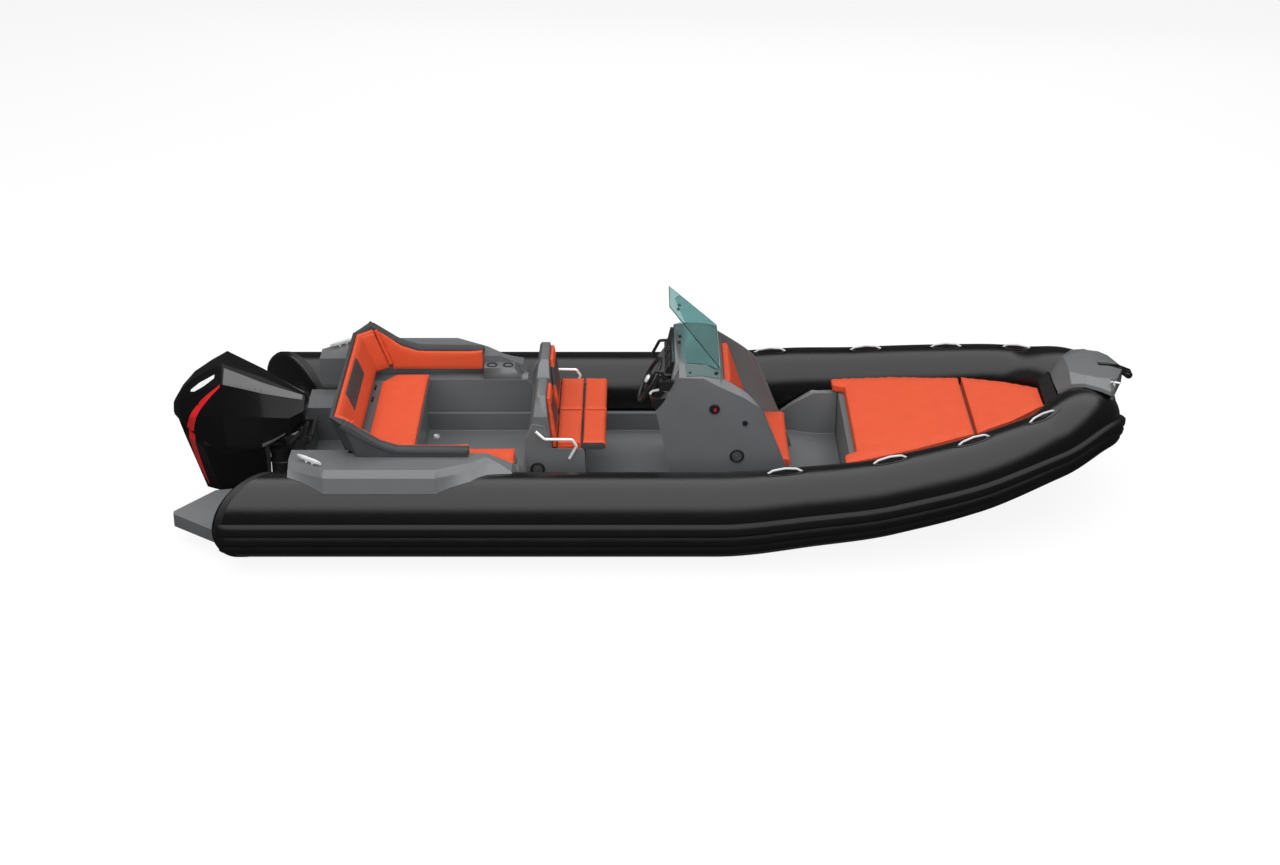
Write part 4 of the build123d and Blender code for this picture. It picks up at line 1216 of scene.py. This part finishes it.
# outlines as (x, z) on the engine's side
GREY_PANEL = [(-2.838, 0.962), (-2.330, 0.712), (-2.330, 0.697), (-2.842, 0.868)]
# the grip's painted highlight, a pale sheet where the cowl catches the light
GRIP_HIGHLIGHT = [(-3.078, 0.786), (-3.074, 0.800), (-3.010, 0.852), (-2.905, 0.917), (-2.905, 0.897),
        (-2.984, 0.836), (-3.050, 0.793)]
STRIPE_AFT = [(-2.862, 0.868), (-2.984, 0.763), (-3.077, 0.647), (-3.113, 0.560), (-3.128, 0.500),
              (-3.128, 0.375), (-3.097, 0.215), (-3.030, 0.035)]
STRIPE_FORE = [(-2.864, 0.850), (-2.960, 0.745), (-3.030, 0.646), (-3.062, 0.560), (-3.075, 0.500),
               (-3.080, 0.400), (-3.065, 0.232), (-3.026, 0.035)]
COWL_SHARE = 4               # stripe points that lie on the upper cowl
TRIM = [(-2.602, 0.400), (-2.500, 0.446), (-2.440, 0.486), (-2.440, 0.504), (-2.500, 0.468),
        (-2.602, 0.426)]
SHEET_Y = 0.2                # the sheets are dropped towards this distance from the centreline
SHEET_THICK = 0.002


def flowing(points, count=6):
    """Smooth line through points, as a spline passes them."""
    points = [Vector(p) for p in points]
    ends = [points[0] * 2 - points[1], *points, points[-1] * 2 - points[-2]]
    line = []
    for before, start, end, after in zip(ends, ends[1:], ends[2:], ends[3:]):
        for step in range(count):
            line.append(hermite(start, (end - before) / 2, end, (after - start) / 2, step / count))
    return line + [points[-1]]


def band(aft, fore):
    """Closed outline between two flowing lines."""
    return flowing(aft) + list(reversed(flowing(fore)))


def on_side(outline, y):
    return [(x, y, z) for x, z in outline]


upper = slice(None, COWL_SHARE + 1)
lower = slice(COWL_SHARE, None)
cowl_sheets = {
    "cowl_grey_panel": (cowl_mesh, GREY_PANEL, cowl_grey, 0.02),
    "cowl_grip_highlight": (cowl_mesh, GRIP_HIGHLIGHT, painted_grip_highlight, 0.01),
    "cowl_stripe": (cowl_mesh, band(STRIPE_AFT[upper], STRIPE_FORE[upper]), cowl_red, 0.01),
    "apron_stripe": (apron_mesh, band(STRIPE_AFT[lower], STRIPE_FORE[lower]), cowl_red, 0.01),
    "cowl_trim": (cowl_mesh, TRIM, cowl_grey, 0.01),
}
for side, hand in ((1, "port"), (-1, "starboard")):
    for sheet, (target, outline, finish, step) in cowl_sheets.items():
        laid(f"{sheet}_{hand}", target, on_side(outline, SHEET_Y * side), (0, -side, 0),
             SHEET_THICK, finish, "engine", step)
print("cowl sheets", 2 * len(cowl_sheets))

# %% [markdown]
# ## Bow cap
#
# A moulded cap covers the place where the tubes meet and carries the anchor roller. It is one
# shell: a broad flat top, a crease, a side that falls onto the tube's crest, and a turned-down
# brim. Cross sections from aft to bow give its grid. The shell is thickened inwards, the roller's
# slot is cut out, and the edges are eased.

# %% Cap and slot
# each section: centre, crease, side and brim on the port half, as (x, y, z)
CAP_SECTIONS = [
    ((2.847, 0, 0.800), (2.850, 0.080, 0.799), (2.853, 0.146, 0.797), (2.856, 0.152, 0.775)),
    ((2.935, 0, 0.940), (2.930, 0.120, 0.936), (2.930, 0.228, 0.890), (2.932, 0.236, 0.862)),
    ((3.050, 0, 0.947), (3.023, 0.194, 0.940), (3.010, 0.286, 0.921), (3.012, 0.294, 0.893)),
    ((3.130, 0, 0.947), (3.107, 0.235, 0.941), (3.105, 0.326, 0.909), (3.108, 0.334, 0.880)),
    ((3.230, 0, 0.940), (3.190, 0.232, 0.932), (3.180, 0.340, 0.883), (3.185, 0.347, 0.853)),
    ((3.322, 0, 0.912), (3.252, 0.188, 0.920), (3.215, 0.295, 0.868), (3.210, 0.330, 0.842)),
    ((3.318, 0, 0.800), (3.248, 0.182, 0.800), (3.208, 0.285, 0.800), (3.200, 0.315, 0.800)),
]
CAP_THICK = 0.022
CAP_EDGE = 0.006
SLOT_AFT_X, SLOT_HALF, SLOT_FLOOR_Z = 3.145, 0.033, 0.903
SLOT_LONG, SLOT_TALL = 0.4, 0.2


def bow_cap():
    rings = []
    for port in CAP_SECTIONS:
        rings.append([(x, -y, z) for x, y, z in reversed(port)] + list(port[1:]))
    across = len(rings[0])
    faces = []
    for row in range(len(rings) - 1):
        for column in range(across - 1):
            start = row * across + column
            faces.append((start, start + across, start + across + 1, start + 1))
    mesh = bpy.data.meshes.new("bow_cap_shell")
    mesh.from_pydata([p for ring in rings for p in ring], [], faces)
    cap = add_piece("bow_cap_shell", mesh, finishes["gelcoat"], hides=["bow_cap"])
    shell = cap.modifiers.new("thickness", "SOLIDIFY")
    shell.thickness = CAP_THICK
    shell.offset = 1.0 if mesh.polygons[0].normal.z < 0 else -1.0
    settle(cap)
    knife = bmesh.new()
    bmesh.ops.create_cube(knife, size=1.0)
    middle = Vector((SLOT_AFT_X + SLOT_LONG / 2, 0, SLOT_FLOOR_Z + SLOT_TALL / 2))
    for vert in knife.verts:
        vert.co = middle + vert.co * Vector((SLOT_LONG, 2 * SLOT_HALF, SLOT_TALL))
    block = bpy.data.objects.new("slot_cut", bpy.data.meshes.new("slot_cut"))
    knife.to_mesh(block.data)
    knife.free()
    scene.collection.objects.link(block)
    cut = cap.modifiers.new("slot", "BOOLEAN")
    cut.object = block
    cut.solver = "EXACT"
    settle(cap)
    bpy.data.objects.remove(block)
    smooth(cap.data, 12)
    ease = cap.modifiers.new("ease", "BEVEL")
    ease.limit_method = "ANGLE"
    ease.angle_limit = radians(14)
    ease.width = CAP_EDGE
    ease.segments = 3
    ease.harden_normals = True
    return settle(cap)


cap = bow_cap()
print("bow cap of", len(CAP_SECTIONS), "sections and", len(cap.data.polygons), "faces")

# %% [markdown]
# The bow cleat on the cap is two crossed bars on a short post. Round bars are laid through its
# middle point and joined.

# %% Crossed cleat
CLEAT_TOP = Vector((3.215, -0.262, 0.918))
CLEAT_ARM, CLEAT_POST = 0.045, 0.030
steel = finishes["stainless"]

bars = [round_bar([CLEAT_TOP - along * CLEAT_ARM, CLEAT_TOP + along * CLEAT_ARM], 0.006, sides=8)
        for along in (Vector((0.72, 0.62, -0.30)), Vector((0.72, -0.62, 0.10)))]
bars.append(round_bar([CLEAT_TOP - Vector((0, 0, CLEAT_POST)), CLEAT_TOP], 0.009, sides=8))
add_piece("crossed_cleat", joined(bars), steel, hides=["bow_cleat"])
print("cleat of", len(bars), "bars")

# %% [markdown]
# ## Padded wing rolls
#
# The backrest's side wings end in a soft roll that hides the shell's edge and is closed by a
# round cap. It is a thick bar that follows the wing's top line. A thinner orange roll closes the
# joint between the back and each side pad.

# %% Wing rolls and corner rolls
WING_ROLL = [(-1.960, 0.876), (-1.880, 0.818), (-1.800, 0.770), (-1.725, 0.730), (-1.640, 0.700),
             (-1.560, 0.688), (-1.150, 0.682)]
WING_ROLL_Y = 0.845
WING_ROLL_R = 0.028
CORNER_ROLL = [(-1.899, 0.767, 0.862), (-1.858, 0.760, 0.750), (-1.802, 0.753, 0.605)]
CORNER_ROLL_R = 0.0145

for side, hand in ((1, "port"), (-1, "starboard")):
    line = flowing([(x, WING_ROLL_Y * side, z) for x, z in WING_ROLL], 4)
    roll = bmesh.new()
    roll.from_mesh(round_bar(line, WING_ROLL_R, sides=20))
    end = bmesh.ops.create_uvsphere(roll, u_segments=20, v_segments=12, radius=WING_ROLL_R)
    bmesh.ops.translate(roll, verts=end["verts"], vec=line[-1])
    mesh = bpy.data.meshes.new("wing_roll_" + hand)
    roll.to_mesh(mesh)
    roll.free()
    smooth(mesh, 60)
    add_piece("wing_roll_" + hand, mesh, grey)
    corner = flowing([(x, y * side, z) for x, y, z in CORNER_ROLL])
    add_piece("corner_roll_" + hand, round_bar(corner, CORNER_ROLL_R, sides=12), orange)
print("rolls of radius", WING_ROLL_R, "and", CORNER_ROLL_R)

# %% [markdown]
# ## The engine's mount
#
# Between the leg and the transom the swivel bracket is wrapped in castings: a sleeve round the
# steering shaft, a bolted flange at each end and ribs. They are turned, because the shaft turns
# inside them.

# %% Steering sleeve
STEER_AXIS = (-2.500, 0.0, 0.0)
SLEEVE = [(0.0, -0.026), (0.078, -0.026), (0.078, -0.008), (0.070, 0.0), (0.070, 0.050),
          (0.084, 0.066), (0.088, 0.080), (0.082, 0.086), (0.082, 0.200), (0.088, 0.206),
          (0.088, 0.220), (0.082, 0.226), (0.082, 0.290), (0.088, 0.298), (0.088, 0.323),
          (0.0, 0.323)]
turned("steering_sleeve", SLEEVE, STEER_AXIS, (0, 0, 1), finishes["engine_paint"], "swivel", 40)
print("sleeve radius", max(r for r, h in SLEEVE))

# %% [markdown]
# ## Small fittings on the console, helm and lounge
#
# Speakers, sockets, latches and cup holders are bought in and screwed on. Each is a turned
# profile that stands a few millimetres proud.

# %% Console and helm fittings
SPEAKER = [(0.0, 0.003), (0.036, 0.003), (0.038, 0.009), (0.042, 0.011), (0.047, 0.009),
           (0.050, 0.003), (0.050, -0.004)]
SPEAKER_CONE = [(0.0, 0.010), (0.010, 0.009), (0.013, 0.004), (0.020, 0.004), (0.022, 0.007),
                (0.025, 0.007), (0.027, 0.004), (0.034, 0.004)]
SPEAKER_PLACES = {"console": (0.658, 0.450, 0.454), "helm": (-0.691, 0.548, 0.404)}
SOCKET = [(0.0, 0.010), (0.020, 0.010), (0.024, 0.014), (0.032, 0.014), (0.036, 0.008),
          (0.036, -0.004)]
BUTTON = [(0.0, 0.018), (0.010, 0.018), (0.012, 0.012), (0.012, 0.0)]
CUP = [(0.0, -0.004), (0.026, -0.004), (0.028, 0.006), (0.034, 0.008), (0.038, 0.004),
       (0.038, -0.002)]
black = finishes["black_moulding"]
UP, TO_STARBOARD = (0, 0, 1), (0, -1, 0)


def scaled(profile, share):
    return [(r * share, h) for r, h in profile]


for side, hand in ((-1, "starboard"), (1, "port")):
    for where, (x, y, z) in SPEAKER_PLACES.items():
        middle, out = (x, y * side, z), (0, side, 0)
        turned(f"{where}_speaker_{hand}", SPEAKER, middle, out, black)
        turned(f"{where}_speaker_cone_{hand}", SPEAKER_CONE, middle, out, dark_gelcoat)
turned("battery_switch", SOCKET, (0.501, -0.450, 0.806), TO_STARBOARD, black)
turned("battery_switch_knob", BUTTON, (0.506, -0.456, 0.806), TO_STARBOARD, lens_red)
turned("shower_socket", scaled(SOCKET, 0.5), (0.708, -0.450, 0.702), TO_STARBOARD, black)
turned("deck_socket", scaled(SOCKET, 0.65), (-1.472, 0.539, 0.120), UP, steel)
for index, x in enumerate((-1.068, -0.952)):
    turned(f"cup_holder_{index}", CUP, (x, 0.740, 0.600), UP, black)
print("console and helm fittings")

# %% [markdown]
# The windscreen is clamped between a dark foot on the console and a few screws. The foot is a
# thin sheet laid on the console along the direction that the glass faces, and the screws are
# turned.

# %% Windscreen foot and screws
SCREW = [(0.0, 0.008), (0.008, 0.007), (0.012, 0.001), (0.012, -0.006)]
FOOT = [(0.300, 0.350, 1.09), (0.530, 0.352, 1.07), (0.534, 0.420, 1.03), (0.312, 0.438, 1.04)]
FOOT_THICK = 0.004
FOOT_SCREWS = ((0.335, 0.412, 1.056), (0.512, 0.396, 1.050))
STAY_SCREWS = ((0.262, 1.225), (0.268, 1.262))
STAY_Y, STAY_Z = 0.369, 1.028
STAY_LEAN = 0.187 / 0.428    # metres inwards for each metre up
console_mesh = bpy.data.objects["console_moulding"].data

for side, hand in ((-1, "starboard"), (1, "port")):
    foot = [(x, y * side, z) for x, y, z in FOOT]
    laid("screen_foot_" + hand, console_mesh, foot, (0, -side * 0.5, -0.86), FOOT_THICK, dark_glass)
    for index, (x, y, z) in enumerate(FOOT_SCREWS):
        name = f"screen_screw_{hand}_{index}"
        turned(name, SCREW, (x, y * side, z), (0, side * 0.5, 0.86), black)
for index, (x, z) in enumerate(STAY_SCREWS):
    for side, hand in ((-1, "starboard"), (1, "port")):
        y = STAY_Y - STAY_LEAN * (z - STAY_Z) + 0.004
        turned(f"screen_stay_screw_{hand}_{index}", SCREW, (x, y * side, z), (0, side, 0.4), black)
print("screen fixings", 2 * (1 + len(FOOT_SCREWS) + len(STAY_SCREWS)))

# %% [markdown]
# The dash carries three round gauges and a row of four switches. They point square out of the
# sloping panel, so they share its direction.

# %% Gauges and switches
DASH_NORMAL = Vector((-0.978, 0, 0.207))
GAUGE = [(0.0, 0.006), (0.036, 0.006), (0.040, 0.010), (0.046, 0.008), (0.046, -0.004)]
GAUGE_FACE = [(0.0, 0.0075), (0.034, 0.0075), (0.034, 0.002)]

for index, y in enumerate((-0.20, -0.08, 0.06)):
    middle = (0.192, y, 1.010)
    turned(f"gauge_{index}", GAUGE, middle, DASH_NORMAL, black)
    turned(f"gauge_face_{index}", GAUGE_FACE, middle, DASH_NORMAL, cowl_grey)
for index, y in enumerate((0.13, 0.17, 0.21, 0.25)):
    turned(f"switch_{index}", BUTTON, (0.187, y, 0.985), DASH_NORMAL, black, steps=12)
print("dash filled")

# %% [markdown]
# Beside the wheel a round bowl for small things is let into the dash, with a bright rail round
# its aft half. The wheel's nut hides under a cap that turns with it. The seat's latch and the
# hinges of the bench lid are bent and straight bars.

# %% Bowl, hub cap, latch and hinges
BOWL = [(0.0, -0.110), (0.030, -0.108), (0.052, -0.080), (0.066, -0.030), (0.070, 0.0),
        (0.062, 0.0), (0.055, -0.040), (0.0, -0.070)]
BOWL_PLACE = (0.135, -0.365, 0.872)
RAIL_REACH = 0.066           # from the middle of the bowl
turned("helm_bowl", BOWL, BOWL_PLACE, UP, black)
rail = [Vector(BOWL_PLACE) + Vector((RAIL_REACH * cos(turn), RAIL_REACH * sin(turn), 0.006))
        for turn in np.linspace(0.1 * pi, 0.95 * pi, 16)]
add_piece("helm_bowl_rail", round_bar(rail, 0.009, sides=10), steel)

HUB_CAP = [(0.0, 0.026), (0.020, 0.025), (0.030, 0.018), (0.032, 0.0)]
HUB = Vector((0.067, -0.110, 0.869))
SHAFT_LEAN = radians(62)     # from upright
shaft = Vector((-sin(SHAFT_LEAN), 0, cos(SHAFT_LEAN)))
turned("wheel_hub_cap", HUB_CAP, HUB + shaft * 0.006, shaft, steel, "wheel")

LATCH_Y = -0.405
LATCH = [(1.030, 0.300), (1.055, 0.268), (1.052, 0.225), (1.020, 0.190)]
latch = flowing([(x, LATCH_Y, z) for x, z in LATCH])
add_piece("seat_latch_bar", round_bar(latch, 0.008, sides=8), steel)
HINGE_X, HINGE_Z, HINGE_HALF = -1.888, 0.532, 0.03
pins = [[(HINGE_X, y + end, HINGE_Z) for end in (-HINGE_HALF, HINGE_HALF)]
        for y in (-0.45, 0.30, 0.50)]
hinges = [round_bar(pin, 0.007, sides=8) for pin in pins]
add_piece("bench_hinges", joined(hinges), black)
print("bowl, hub cap, latch and", len(pins), "hinges")

# %% [markdown]
